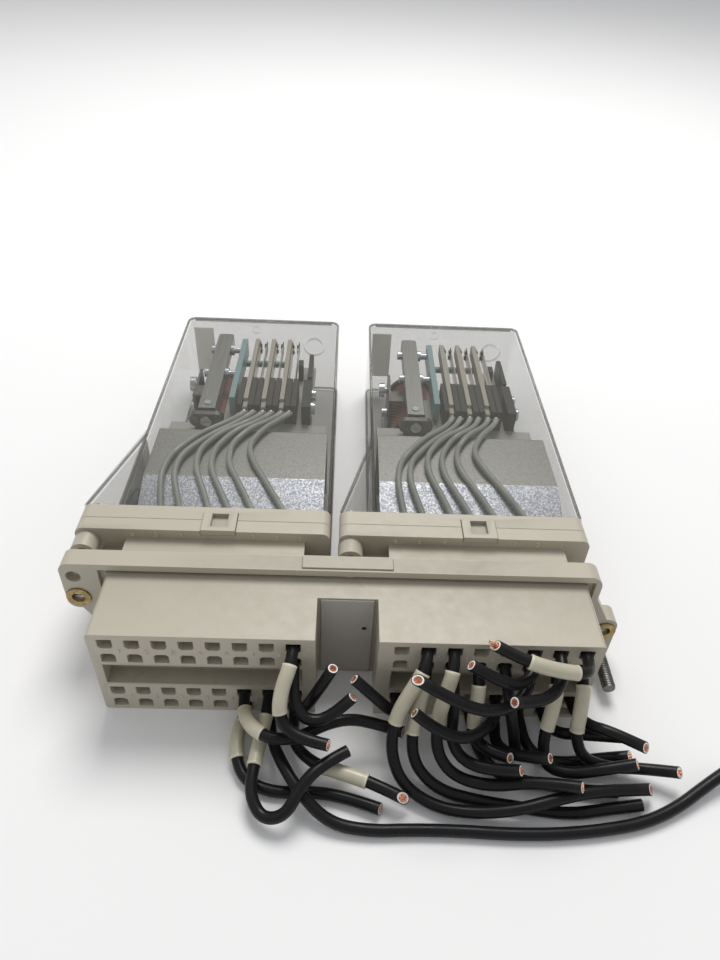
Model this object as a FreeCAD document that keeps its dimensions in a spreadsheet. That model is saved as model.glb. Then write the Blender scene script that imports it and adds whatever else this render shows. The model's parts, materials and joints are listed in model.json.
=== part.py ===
import FreeCAD, Part
import Sketcher

import math
import os
import re

# Two identical plug-in control relays side by side on one rack terminal base, with cut field leads.
# Every length is in millimetres. Geometry is drawn in bench axes: x from the middle of a seat (or of
# the base), y as the distance behind the terminal face, z up from the bench. Each sub-part's own
# Placement then moves it to its seat, so that the model's origin is the middle of its footprint.

DRIVING = {
    # rack and terminal block
    "seat_pitch": 88.9, "hole_pitch": 8.03, "hole_wide": 4.5, "hole_tall": 4.0, "hole_bevel": 0.8,
    "row_one": 33.6, "row_two": 26.9, "row_three": 9.95, "row_four": 3.6,
    "block_half": 77.9, "block_height": 37.65, "block_depth": 24.5, "block_round": 1.2,
    "flange_thick": 6.8, "ear_round": 3.5, "bar_round": 4.5, "rim_depth": 1.6,
    "flange_height": 41.4, "flange_half": 82.6, "ear_reach": 92.8,
    "ear_x": 88.6, "ear_hole_z": 35.7, "ear_hole_radius": 2.4,
    "insert_z": 26.2, "insert_radius": 4.0, "insert_bore": 2.1,
    "notch_left": 9.8, "notch_right": 9.3, "notch_depth": 16.5,
    "slot_floor": 14.1, "slot_roof": 23.4, "slot_depth": 6.0, "slot_inner": 13.8, "slot_outer": 75.1,
    "well_half": 33.0, "well_floor": 1.5, "well_roof": 35.9, "well_face": 21.0,
    "strip_left": 15.2, "strip_right": 14.2, "strip_floor": 39.6, "strip_near": 25.4, "strip_far": 30.4,
    # relay moulding
    "overall_depth": 193.6, "mould_left": 48.1, "mould_right": 37.8, "mould_top": 41.0,
    "mould_near": 41.5, "ring_near": 47.0, "ring_far": 53.5, "plug_near": 31.6,
    "plug_left": 31.1, "plug_right": 29.3, "plug_floor": 1.5, "plug_roof": 36.9,
    "tube_x": 44.1, "tube_near": 35.0, "tube_radius": 4.2, "screw_bore": 2.3, "head_passage": 2.8,
    "head_radius": 2.4, "head_room": 2.7, "head_thick": 3.2,
    "window_left": 35.1, "window_right": 36.4, "window_floor": 2.2, "window_roof": 38.8,
    "latch_half": 5.8, "latch_floor": 39.3, "latch_near": 41.8, "latch_far": 50.4,
    # clear cover
    "cover_left": 36.5, "cover_right": 37.9, "cover_floor": 0.6, "cover_top": 40.4,
    "cover_near": 53.7, "cover_wall": 1.5, "web_reach": 48.0, "web_far": 98.0, "web_bottom": 0.6,
    # magnet and contacts
    "box_left": 33.5, "box_right": 34.8, "box_near": 47.2, "box_bend": 76.8, "box_far": 107.0,
    "box_floor": 3.0, "box_brow": 26.0, "box_roof": 35.4, "box_sheet": 1.2,
    "frame_near": 107.2, "frame_step": 128.0, "frame_far": 170.5, "frame_floor": 24.5, "frame_top": 27.0,
    "strip_first": 1.1, "strip_pitch": 7.75, "strip_thick": 2.0, "strip_low": 31.5, "strip_high": 37.0,
    "stack_near": 123.5, "stack_far": 145.0, "stack_floor": 27.0, "strip_end": 179.5,
    "bar_left": 20.4, "bar_right": 13.2, "bar_near": 120.6, "bar_far": 184.0, "bar_pivot": 124.5,
    "bar_low": 31.4, "bar_high": 36.4, "pivot_radius": 1.5, "pivot_gap": 0.05,
    "coil_x": 15.5, "coil_z": 15.0, "coil_near": 130.0, "coil_far": 166.0, "coil_radius": 10.2,
    "cheek_radius": 11.6, "cheek_thick": 2.0, "core_radius": 4.0,
    # leads
    "lead_diameter": 3.6, "lead_start": 5.0, "sleeve_gap": 0.05, "sleeve_wall": 0.4, "wire_diameter": 2.3,
}

doc = FreeCAD.newDocument("relay_pair")
sheet = doc.addObject("Spreadsheet::Sheet", "dims")
for row, (alias, amount) in enumerate(DRIVING.items(), start=1):
    sheet.set(f"A{row}", alias)
    sheet.set(f"B{row}", str(amount))
    sheet.setAlias(f"B{row}", alias)
doc.recompute()

LEFT_SEAT = "-seat_pitch / 2"
RIGHT_SEAT = "seat_pitch / 2"
MIDDLE = "0"
COLUMNS = 8
ROWS = ("row_one", "row_two", "row_three", "row_four")
nodes = {}


def size(alias):
    """The sheet's present value of one driving dimension."""
    return float(sheet.get(alias))


def bind(thing, prop, text):
    """Drive a property from the sheet: every word in the text is an alias."""
    thing.setExpression(prop, re.sub(r"[a-z][a-z_]+", lambda word: "dims." + word.group(), str(text)))


def place(thing, x, y, z):
    for axis, text in zip("xyz", (x, y, z)):
        bind(thing, f"Placement.Base.{axis}", text)


def box(x, y, z):
    """A block from three (low, high) pairs."""
    solid = doc.addObject("Part::Box", "block")
    for prop, (low, high) in zip(("Length", "Width", "Height"), (x, y, z)):
        bind(solid, prop, f"({high}) - ({low})")
    place(solid, x[0], y[0], z[0])
    return solid


TURN = {
    "x": FreeCAD.Rotation(FreeCAD.Vector(0, 1, 0), 90),
    "y": FreeCAD.Rotation(FreeCAD.Vector(1, 0, 0), -90),
    "z": FreeCAD.Rotation(),
}


def rod(along, start, radius, length):
    """A cylinder that starts at a point and runs along +x, +y or +z."""
    solid = doc.addObject("Part::Cylinder", "rod")
    solid.Placement = FreeCAD.Placement(FreeCAD.Vector(), TURN[along])
    bind(solid, "Radius", radius)
    bind(solid, "Height", length)
    place(solid, *start)
    return solid


def fuse(*solids):
    joined = doc.addObject("Part::MultiFuse", "joined")
    joined.Shapes = list(solids)
    return joined


def cut(solid, *tools):
    result = doc.addObject("Part::Cut", "trimmed")
    result.Base = solid
    result.Tool = tools[0] if len(tools) == 1 else fuse(*tools)
    return result


def tube(along, start, outer, inner, length):
    return cut(rod(along, start, outer, length), rod(along, start, inner, length))


def slotted_head(along, start, radius, thick):
    """A screw head along x or y with a driver slot across its outer face."""
    head = rod(along, start, radius, thick)
    x, y, z = start
    across, deep = f"2 * ({radius})", f"0.45 * ({thick})"
    if along == "x":
        slot = box((f"({x}) + ({thick}) - {deep}", f"({x}) + ({thick})"), (f"({y}) - 0.35", f"({y}) + 0.35"),
                   (f"({z}) - ({radius})", f"({z}) - ({radius}) + {across}"))
    else:
        slot = box((f"({x}) - ({radius})", f"({x}) - ({radius}) + {across}"), (y, f"({y}) + {deep}"),
                   (f"({z}) - 0.35", f"({z}) + 0.35"))
    return cut(head, slot)


def seat_on(thing, seat):
    place(thing, seat, "-overall_depth / 2", "0")


def node(label, seat, *solids):
    """One named sub-part made of one or more separate solids."""
    group = doc.addObject("Part::Compound", label)
    group.Links = list(solids)
    group.Label = label
    seat_on(group, seat)
    nodes[label] = group


# ---- PartDesign helpers -------------------------------------------------------------------------

def new_body(label, seat):
    body = doc.addObject("PartDesign::Body", label)
    body.Label = label
    seat_on(body, seat)
    nodes[label] = body
    return body


def new_sketch(body, role, offset):
    """A sketch on one of the body's own planes, moved along that plane's normal."""
    sketch = body.newObject("Sketcher::SketchObject", "sketch")
    plane = next(feature for feature in body.Origin.OriginFeatures if feature.Role == role)
    sketch.AttachmentSupport = [(plane, "")]
    sketch.MapMode = "FlatFace"
    bind(sketch, "AttachmentOffset.Base.z", offset)
    return sketch


def outline(sketch, points):
    """A closed outline of straight edges through plain points."""
    first = sketch.GeometryCount
    corners = [FreeCAD.Vector(u, v, 0) for u, v in points]
    for here, there in zip(corners, corners[1:] + corners[:1]):
        sketch.addGeometry(Part.LineSegment(here, there), False)
    for step in range(len(corners)):
        after = (step + 1) % len(corners)
        sketch.addConstraint(Sketcher.Constraint("Coincident", first + step, 2, first + after, 1))
    return first


def rectangle(sketch, u, v):
    """A rectangle held by four dimensions, each driven from the sheet."""
    first = outline(sketch, [(-1, -1), (1, -1), (1, 1), (-1, 1)])
    for step, kind in enumerate(("Horizontal", "Vertical", "Horizontal", "Vertical")):
        sketch.addConstraint(Sketcher.Constraint(kind, first + step))
    low_left = first
    for kind, low, high in (("DistanceX", *u), ("DistanceY", *v)):
        held = sketch.addConstraint(Sketcher.Constraint(kind, -1, 1, low_left, 1, -1.0))
        bind(sketch, f"Constraints[{held}]", low)
        side = first if kind == "DistanceX" else first + 1
        held = sketch.addConstraint(Sketcher.Constraint(kind, side, 1, side, 2, 2.0))
        bind(sketch, f"Constraints[{held}]", f"({high}) - ({low})")


def circle(sketch, u, v, radius):
    added = sketch.addGeometry(Part.Circle(FreeCAD.Vector(1, 1, 0), FreeCAD.Vector(0, 0, 1), 1), False)
    for kind, text in (("DistanceX", u), ("DistanceY", v)):
        held = sketch.addConstraint(Sketcher.Constraint(kind, -1, 1, added, 3, 1.0))
        bind(sketch, f"Constraints[{held}]", text)
    held = sketch.addConstraint(Sketcher.Constraint("Radius", added, 1.0))
    bind(sketch, f"Constraints[{held}]", radius)


def pad(body, sketch, length, flipped):
    feature = body.newObject("PartDesign::Pad", "pad")
    feature.Profile = sketch
    feature.Reversed = flipped
    bind(feature, "Length", length)
    return feature


def pocket(body, sketch, length, flipped=False):
    feature = body.newObject("PartDesign::Pocket", "pocket")
    feature.Profile = sketch
    feature.Reversed = flipped
    bind(feature, "Length", length)
    return feature


def slab(body, x, z, y, *holes):
    """A rectangular pad across y, with round holes given as (x, z, radius)."""
    sketch = new_sketch(body, "XZ_Plane", f"-({y[0]})")
    rectangle(sketch, x, z)
    for hole in holes:
        circle(sketch, *hole)
    return pad(body, sketch, f"({y[1]}) - ({y[0]})", True)


def recess(body, x, z, y):
    """A rectangular pocket between two depths behind the terminal face."""
    sketch = new_sketch(body, "XZ_Plane", f"-({y[0]})")
    rectangle(sketch, x, z)
    return pocket(body, sketch, f"({y[1]}) - ({y[0]})")


def round_edges(body, feature, radius, chosen):
    """A fillet on the edges of a feature that a test picks."""
    doc.recompute()
    names = [f"Edge{n}" for n, edge in enumerate(feature.Shape.Edges, start=1) if chosen(edge)]
    fillet = body.newObject("PartDesign::Fillet", "fillet")
    fillet.Base = (feature, names)
    bind(fillet, "Radius", radius)
    return fillet


def runs_along(edge, axis):
    """True for a straight edge that is parallel to one axis."""
    ends = edge.Vertexes
    if len(ends) != 2 or not isinstance(edge.Curve, (Part.Line, Part.LineSegment)):
        return False
    span = ends[1].Point - ends[0].Point
    return abs(abs(getattr(span, axis)) - span.Length) < 1e-6


# ---- terminal base ------------------------------------------------------------------------------

def entry_outline(x, z, bevel_up):
    """One wire entry: a square hole with its two upper or two lower corners bevelled."""
    half, tall, bevel = size("hole_wide") / 2, size("hole_tall") / 2, size("hole_bevel")
    way = 1 if bevel_up else -1
    points = [(-half, -tall), (half, -tall), (half, tall - bevel), (half - bevel, tall),
              (bevel - half, tall), (-half, tall - bevel)]
    return [(x + u, z + way * v) for u, v in points][::way]


def terminal_base_housing():
    body = new_body("terminal_base_housing", MIDDLE)
    back = "block_depth + flange_thick"
    block = slab(body, ("-block_half", "block_half"), ("0", "block_height"), ("0", "block_depth + 1"))
    round_edges(body, block, "block_round", lambda edge: runs_along(edge, "y"))
    slab(body, ("-ear_reach", "flange_half"), ("flange_height / 2", "flange_height"), ("block_depth", back),
         ("-ear_x", "ear_hole_z", "ear_hole_radius"), ("-ear_x", "insert_z", "insert_radius"),
         ("seat_pitch / 2 - tube_x", "ear_hole_z", "ear_hole_radius"))
    slab(body, ("-flange_half", "ear_reach"), ("0", "flange_height / 2"), ("block_depth", back),
         ("ear_x", "flange_height - ear_hole_z", "ear_hole_radius"),
         ("ear_x", "flange_height - insert_z", "insert_radius"))
    for way in (-1, 1):
        gusset = new_sketch(body, "XZ_Plane", "-block_depth")
        middle, side = size("flange_height") / 2, way * size("flange_half")
        edge = 31 if way > 0 else size("flange_height") - 31
        outline(gusset, [(way * 70, middle - way), (way * 70, edge), (side, edge), (way * 88.4, middle),
                         (way * 88.4, middle - way * 0.6)][::way])
        feature = pad(body, gusset, "flange_thick", True)
    ear, bar = size("ear_reach") - 0.1, size("flange_half") - 0.1
    top = size("flange_height") - 0.1
    ears = round_edges(body, feature, "ear_round", lambda edge: runs_along(edge, "y")
                       and abs(edge.Vertexes[0].X) > ear)
    round_edges(body, ears, "bar_round", lambda edge: runs_along(edge, "y") and edge.Vertexes[0].Y > 24
                and abs(abs(edge.Vertexes[0].X) - bar) < 0.2
                and (edge.Vertexes[0].Z > top or edge.Vertexes[0].Z < 0.1))
    rim = new_sketch(body, "XZ_Plane", "-block_depth")
    rectangle(rim, ("-80.4", "80.4"), ("-1", "39"))
    rectangle(rim, ("-block_half", "block_half"), ("-0.5", "block_height"))
    pocket(body, rim, "rim_depth")
    recess(body, ("-notch_left", "notch_right"), ("-1", "block_height + 1"), ("0", "notch_depth"))
    for low, high in (("-slot_outer", "-slot_inner"), ("slot_inner", "slot_outer")):
        recess(body, (low, high), ("slot_floor", "slot_roof"), ("0", "slot_depth"))
    recess(body, ("-strip_left", "strip_right"), ("strip_floor", "flange_height + 1"),
           ("strip_near", "strip_far"))
    for seat in (LEFT_SEAT, RIGHT_SEAT):
        recess(body, (f"{seat} - well_half", f"{seat} + well_half"), ("well_floor", "well_roof"),
               ("well_face", f"{back} + 1"))
    for way in (-1, 1):
        sketch = new_sketch(body, "XZ_Plane", "0")
        first_x = way * size("seat_pitch") / 2 - (COLUMNS - 1) / 2 * size("hole_pitch")
        for count, row in enumerate(ROWS):
            outline(sketch, entry_outline(first_x, size(row), count % 2 == 1))
        hole = pocket(body, sketch, "well_face + 1")
        columns = body.newObject("PartDesign::LinearPattern", "columns")
        columns.Originals = [hole]
        columns.Direction = (sketch, ["H_Axis"])
        bind(columns, "Length", f"{COLUMNS - 1} * hole_pitch")
        columns.Occurrences = COLUMNS
        body.Tip = columns
        doc.recompute()


def base_hardware():
    """Brass inserts, their screws, the loose fixing screw and the marker strip of the base."""
    near = "block_depth - 0.6"
    inserts, screws = [], []
    for way, z in (("-", "insert_z"), ("", "flange_height - insert_z")):
        x = f"{way}ear_x"
        inserts.append(tube("y", (x, near, z), "insert_radius", "insert_bore", "flange_thick + 0.6"))
        screws.append(fuse(slotted_head("y", (x, f"{near} + 1.2", z), "insert_bore - 0.05", "1.6"),
                           rod("y", (x, f"{near} + 2.8", z), "insert_bore - 0.3", "4.2")))
    node("threaded_inserts", MIDDLE, *inserts)
    node("insert_screws", MIDDLE, *screws)

    x, z = "ear_x", "flange_height - ear_hole_z"
    shank = rod("y", (x, "7.5", z), "2.0", "block_depth + flange_thick - 7.5 + 0.8")
    ridges = [rod("y", (x, f"{8.2 + 0.9 * turn:.1f}", z), "2.2", "0.45") for turn in range(25)]
    head = rod("y", (x, "block_depth + flange_thick + 0.3", z), "3.6", "2.4")
    node("long_fixing_screw", MIDDLE, fuse(shank, head, *ridges))

    node("marker_strip", MIDDLE, box(("-strip_left + 0.1", "strip_right - 0.1"),
                                     ("strip_near + 0.1", "strip_far - 0.1"),
                                     ("strip_floor", "flange_height + 0.5")))


# ---- one relay ----------------------------------------------------------------------------------

def relay_base(side, seat):
    body = new_body(f"{side}_relay_base", seat)
    plate = slab(body, ("-mould_left", "mould_right"), ("0", "mould_top"), ("mould_near", "ring_near"),
                 ("-tube_x", "ear_hole_z", "screw_bore"))
    round_edges(body, plate, "3", lambda edge: runs_along(edge, "y"))
    slab(body, ("-plug_left", "plug_right"), ("plug_floor", "plug_roof"), ("plug_near", "mould_near"))
    slab(body, ("-plug_left - 8.8", "-plug_left"), ("plug_floor + 1.5", "plug_roof - 5"),
         ("plug_near + 1.6", "mould_near"))
    sketch = new_sketch(body, "XZ_Plane", "-tube_near")
    circle(sketch, "-tube_x", "ear_hole_z", "tube_radius")
    circle(sketch, "-tube_x", "ear_hole_z", "screw_bore")
    pad(body, sketch, "mould_near - tube_near", True)
    recess(body, ("-latch_half - 0.2", "latch_half + 0.2"), ("latch_floor - 0.2", "mould_top + 1"),
           ("mould_near", "ring_near"))


def plug_blades(side, seat):
    """The flat pins that reach through the base's rear wells, four rows of eight."""
    blades = []
    for row in ROWS:
        for column in range(COLUMNS):
            x = f"{column - (COLUMNS - 1) / 2} * hole_pitch"
            blades.append(box((f"{x} - 0.4", f"{x} + 0.4"), ("well_face + 1.2", "plug_near"),
                              (f"{row} - 1.3", f"{row} + 1.3")))
    node(f"{side}_plug_blades", seat, *blades)


def cover_frame(side, seat):
    body = new_body(f"{side}_cover_frame", seat)
    ring = slab(body, ("-mould_left", "mould_right"), ("0", "mould_top"), ("ring_near + 0.15", "ring_far"),
                ("-tube_x", "ear_hole_z", "head_passage"))
    round_edges(body, ring, "3", lambda edge: runs_along(edge, "y"))
    recess(body, ("-window_left", "window_right"), ("window_floor", "window_roof"), ("ring_near", "ring_far"))
    recess(body, ("-latch_half - 0.2", "latch_half + 0.2"), ("latch_floor - 0.2", "mould_top + 1"),
           ("ring_near", "latch_far + 0.4"))


def latch_tab(side, seat):
    """The U-shaped snap tab that bridges the groove between frame and base."""
    tab = box(("-latch_half", "latch_half"), ("latch_near - 0.4", "latch_far"),
              ("latch_floor", "mould_top + 0.5"))
    window = box(("-latch_half + 3", "latch_half - 3"), ("latch_near + 1.8", "latch_far - 0.6"),
                 ("latch_floor + 0.5", "mould_top + 1"))
    node(f"{side}_latch_tab", seat, cut(tab, window))


def clear_cover(side, seat):
    """A clear shell open at its near end, with a three-cornered chamber over the fixing screw."""
    body = new_body(f"{side}_clear_cover", seat)
    length = "overall_depth - cover_near"
    shell = slab(body, ("-cover_left", "cover_right"), ("cover_floor", "cover_top"),
                 ("cover_near", "overall_depth"))
    far = size("overall_depth") - 1
    corners = round_edges(body, shell, "4", lambda edge: runs_along(edge, "z") and edge.Vertexes[0].Y > far)
    round_edges(body, corners, "1.2", lambda edge: runs_along(edge, "y"))
    wall, near, left = size("cover_wall"), size("cover_near"), -size("cover_left")
    reach, tip, top = -size("web_reach"), size("web_far"), size("cover_top")
    chamber = new_sketch(body, "XY_Plane", "web_bottom")
    outline(chamber, [(reach, near), (left + wall, near), (left + wall, tip), (left, tip)])
    pad(body, chamber, "cover_top - web_bottom", False)
    recess(body, ("-cover_left + cover_wall", "cover_right - cover_wall"),
           ("cover_floor + cover_wall", "cover_top - cover_wall"),
           ("cover_near", "overall_depth - cover_wall"))
    inside = new_sketch(body, "XY_Plane", "cover_top - cover_wall")
    outline(inside, [(reach + wall, near), (left - 0.3, near), (left - 0.3, tip - 8)])
    pocket(body, inside, "cover_top - 2 * cover_wall - web_bottom")
    room = new_sketch(body, "XZ_Plane", "-cover_near")
    circle(room, "-tube_x", "ear_hole_z", "head_room")
    pocket(body, room, "head_thick + 0.6")
    wall = "overall_depth - cover_wall"
    bosses = (("25.5", "27.5", "5.4", "4.0", "2.4"), ("-3.4", "35.3", "2.2", "1.5", "1"))
    for x, z, outer, inner, proud in bosses:
        boss = new_sketch(body, "XZ_Plane", f"{proud} - ({wall})")
        circle(boss, x, z, outer)
        circle(boss, x, z, inner)
        pad(body, boss, f"{proud} + 0.2", True)


def label_plate(side, seat):
    """The pale label carrier behind the cover's far wall."""
    wall = "overall_depth - cover_wall"
    node(f"{side}_label_plate", seat, box(("-34.2", "-24.8"), (f"{wall} - 0.8", wall), ("10.8", "35.2")))


def fixing_screw(side, seat):
    """The long captive screw, drawn back so that its tip has left the base's ear."""
    x, z = "-tube_x", "ear_hole_z"
    shank = rod("y", (x, "33.4", z), "screw_bore - 0.3", "ring_far + 0.4 - 33.4")
    head = rod("y", (x, "ring_far + 0.4", z), "head_radius", "head_thick")
    slot = box((f"{x} - 3", f"{x} + 3"), ("ring_far + 2.4", "ring_far + 4"), (f"{z} - 0.4", f"{z} + 0.4"))
    node(f"{side}_fixing_screw", seat, cut(fuse(shank, head), slot))


def magnet_box(side, seat):
    """The galvanised sheet that folds over the magnet: sloped brow, flat roof and back."""
    body = new_body(f"{side}_magnet_box", seat)
    near, bend, far = size("box_near"), size("box_bend"), size("box_far")
    floor, brow, roof, skin = size("box_floor"), size("box_brow"), size("box_roof"), size("box_sheet")
    side_view = new_sketch(body, "YZ_Plane", "-box_left")
    outline(side_view, [(near, floor), (near, brow), (bend, roof), (far, roof), (far, floor)])
    sheet_block = pad(body, side_view, "box_left + box_right", False)
    round_edges(body, sheet_block, "1", lambda edge: runs_along(edge, "x") and edge.Vertexes[0].Z > brow + 1)
    hollow = new_sketch(body, "YZ_Plane", "-box_left - 1")
    outline(hollow, [(near + skin, floor - 1), (near + skin, brow - skin), (bend, roof - skin),
                     (far - skin, roof - skin), (far - skin, floor - 1)])
    pocket(body, hollow, "box_left + box_right + 2", True)


def coils(side, seat):
    """Two windings: one across the sheet box, one along the frame under the armature bar."""
    across = ("-26", "86", "17")
    along = ("-coil_x", "coil_near", "coil_z")
    span = "coil_far - coil_near"
    windings = [
        cut(rod("x", across, "12.5", "52"), rod("x", across, "core_radius + 1", "52")),
        cut(rod("y", ("-coil_x", "coil_near + cheek_thick", "coil_z"), "coil_radius",
                f"{span} - 2 * cheek_thick"),
            rod("y", along, "core_radius + 1", span)),
    ]
    node(f"{side}_coil_windings", seat, *windings)
    cheeks = []
    for x in ("-28", "26"):
        start = (x, "86", "17")
        cheeks.append(cut(rod("x", start, "13.6", "2"), rod("x", start, "core_radius", "2")))
    for y in ("coil_near", "coil_far - cheek_thick"):
        flange = rod("y", ("-coil_x", y, "coil_z"), "cheek_radius", "cheek_thick")
        cheeks.append(cut(flange, rod("y", ("-coil_x", y, "coil_z"), "core_radius", "cheek_thick")))
    barrel = tube("y", ("-coil_x", "coil_near + cheek_thick", "coil_z"), "core_radius + 1", "core_radius",
                  f"{span} - 2 * cheek_thick")
    node(f"{side}_coil_bobbins", seat, *cheeks, barrel,
         tube("x", across, "core_radius + 1", "core_radius", "52"))
    bracket = fuse(box(("-27.2", "-26.0"), ("142", "164"), ("3.4", "28.5")),
                   box(("-27.2", "-20.6"), ("142", "150"), ("27.3", "28.5")))
    bolt_hole = rod("x", ("-28", "158.7", "23.3"), "1.7", "3")
    node(f"{side}_coil_iron", seat, rod("x", ("-30.5", "86", "17"), "core_radius", "61"),
         rod("y", ("-coil_x", "coil_near - 3", "coil_z"), "core_radius", "coil_far - coil_near + 6"),
         cut(bracket, bolt_hole))


def coil_cheek(side, seat):
    """The thin black insulating plate that stands between the sheet box and the cover's left wall."""
    body = new_body(f"{side}_insulating_plate", seat)
    side_view = new_sketch(body, "YZ_Plane", "-box_left - 1.3")
    outline(side_view, [(54.4, 5), (54.4, 38.2), (80.5, 38.2), (80.5, 5)])
    plate = pad(body, side_view, "1.1", False)
    round_edges(body, plate, "24", lambda edge: runs_along(edge, "x") and edge.Vertexes[0].Y > 80
                and edge.Vertexes[0].Z > 38)
    foot = new_sketch(body, "YZ_Plane", "-box_left - 1.3")
    rectangle(foot, ("box_near", "55"), ("6", "30"))
    pad(body, foot, "1.1", False)


def contact_frame(side, seat):
    """The moulded frame that carries the coil and the contact pile behind the sheet box."""
    ledge = box(("-33.1", "33.8"), ("frame_near", "frame_step - 5"), ("frame_floor", "frame_top"))
    riser = box(("-33.1", "33.8"), ("frame_near", "frame_near + 2"), ("3", "frame_floor"))
    pivot = box(("-bar_left", "-11.2"), ("frame_step - 5", "frame_step - 1"), ("frame_floor", "frame_top"))
    deck = box(("-11.2", "27.4"), ("frame_step - 5", "stack_far + 1"), ("frame_floor + 2.4", "frame_top"))
    arm = box(("19.2", "27.4"), ("stack_far + 1", "frame_far"), ("frame_floor + 2.4", "frame_top"))
    step = box(("-11.2", "27.4"), ("frame_step - 5", "frame_step - 2"), ("frame_floor", "frame_top"))
    floor = box(("-28.2", "-8.5"), ("frame_near", "coil_far + 5"), ("2.6", "3.4"))
    heel = box(("-coil_x - 6", "-coil_x + 6"), ("coil_far + 3", "coil_far + 5"), ("3", "22"))
    toe = box(("-coil_x - 6", "-coil_x + 6"), ("coil_near - 5", "coil_near - 3"), ("3", "22"))
    node(f"{side}_contact_frame", seat, fuse(ledge, riser, pivot, deck, arm, step, floor, heel, toe))


def strip_x(count):
    """The left and right faces of one pale separator strip, counted from the armature side."""
    middle = f"-strip_first + {count} * strip_pitch"
    return f"{middle} - strip_thick / 2", f"{middle} + strip_thick / 2"


def contact_pile(side, seat):
    """Pale separator strips, black insulator blocks and the fixed springs clamped between them."""
    strips, blocks, fixed = [], [], []
    for count in range(3):
        left, right = strip_x(count)
        strips.append(box((left, right), ("stack_near + 4.5", "strip_end"), ("strip_low", "strip_high")))
        strips.append(box((left, right), ("stack_near", "stack_near + 4.5"),
                          ("strip_low", "strip_high - 1.4")))
        inner, outer = f"{right} + 0.35", f"{right} + strip_pitch - strip_thick - 0.35"
        middle = f"{right} + (strip_pitch - strip_thick) / 2"
        blocks.append(box((inner, f"{middle} - 0.15"), ("stack_near", "stack_far"),
                          ("stack_floor", "strip_high - 0.2")))
        blocks.append(box((f"{middle} + 0.15", outer), ("stack_near", "stack_far"),
                          ("stack_floor", "strip_high - 0.2")))
        blade = box((f"{right} + 3.3", f"{right} + 3.7"), ("stack_far", "strip_end - 1"), ("30.8", "36.2"))
        slit = box((f"{right} + 3", f"{right} + 4"), ("strip_end - 15", "strip_end"), ("33.1", "33.6"))
        tips = [rod("x", (f"{right} + 2.5", "strip_end - 3.2", z), "1.1", "0.8") for z in ("32", "34.9")]
        fixed.append(fuse(cut(blade, slit), *tips))
    blocks.append(box(("-4.4", "-strip_first - strip_thick / 2 - 0.35"), ("stack_near", "stack_far"),
                      ("stack_floor", "strip_high - 0.2")))
    blocks.append(box(("23", "26.8"), ("stack_near", "stack_far"), ("stack_floor", "strip_high - 0.6")))
    blocks.append(box(("24.4", "26.4"), ("148.5", "168.5"), ("frame_top", "35.6")))
    blocks.append(box(("19.6", "21.8"), ("158.5", "163.5"), ("frame_top", "35.4")))
    node(f"{side}_separator_strips", seat, *strips)
    node(f"{side}_insulator_blocks", seat, *blocks)
    node(f"{side}_fixed_contacts", seat, *fixed)


def moving_contacts(side, seat):
    """The pale blue push strip, its cross rod and the moving springs that it carries."""
    strip = box(("-8.4", "-5.9"), ("stack_near + 4.7", "strip_end - 0.7"), ("28.4", "strip_high"))
    cross = box(("-5.9", "15.9"), ("167.7", "169.9"), ("28.2", "30.4"))
    node(f"{side}_push_strip", seat, fuse(strip, cross))
    springs = []
    for count in range(3):
        right = strip_x(count)[1]
        blade = box((f"{right} + 0.25", f"{right} + 0.6"), ("146.5", "strip_end - 1"), ("30.4", "36.2"))
        slit = box((right, f"{right} + 1"), ("strip_end - 17", "strip_end"), ("33.1", "33.6"))
        tips = [rod("x", (f"{right} + 0.6", "strip_end - 3.2", z), "1.0", "0.6") for z in ("32", "34.9")]
        springs.append(fuse(cut(blade, slit), *tips))
    node(f"{side}_moving_springs", seat, *springs)


def armature(side, seat):
    """The steel bar over the coil, its pivot, its near pad and its adjusting screws."""
    body = new_body(f"{side}_armature_bar", seat)
    plan = new_sketch(body, "XY_Plane", "bar_low")
    rectangle(plan, ("-bar_left", "-bar_right"), ("bar_near", "bar_far"))
    circle(plan, "-(bar_left + bar_right) / 2", "bar_pivot", "pivot_radius + pivot_gap")
    bar = pad(body, plan, "bar_high - bar_low", False)
    far = size("bar_far") - 1
    round_edges(body, bar, "1.4", lambda edge: runs_along(edge, "z") and edge.Vertexes[0].Y > far)

    middle = "-(bar_left + bar_right) / 2"
    half, low, high = "7.2", "28.7", "35.3"
    radius, centre = f"({high} - {low}) / 2", f"({high} + {low}) / 2"
    near, thick = "bar_near - 3.2", "2.8"
    pad_block = box((f"{middle} - {half} + {radius}", f"{middle} + {half} - {radius}"),
                    (near, f"{near} + {thick}"), (low, high))
    ends = [rod("y", (f"{middle} {way} ({half} - {radius})", near, centre), radius, thick) for way in "-+"]
    post = box((f"{middle} - 5", f"{middle} + 5"), (near, f"{near} + {thick}"), ("frame_top", low))
    screw_hole = rod("y", (middle, near, centre), "1.5", thick)
    node(f"{side}_end_pad", seat, cut(fuse(pad_block, *ends, post), screw_hole))

    adjusters = []
    for y, z in (("172.5", "34.2"), ("152", "34.0")):
        adjusters.append(rod("x", ("-bar_left - 2.2", y, z), "1.9", "2.2"))
        adjusters.append(fuse(rod("x", ("-bar_right", y, z), "1.5", "bar_right - 8.7"),
                              rod("x", ("-bar_right", y, z), "2.5", "1.6")))
    node(f"{side}_adjusting_screws", seat, *adjusters)


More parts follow.
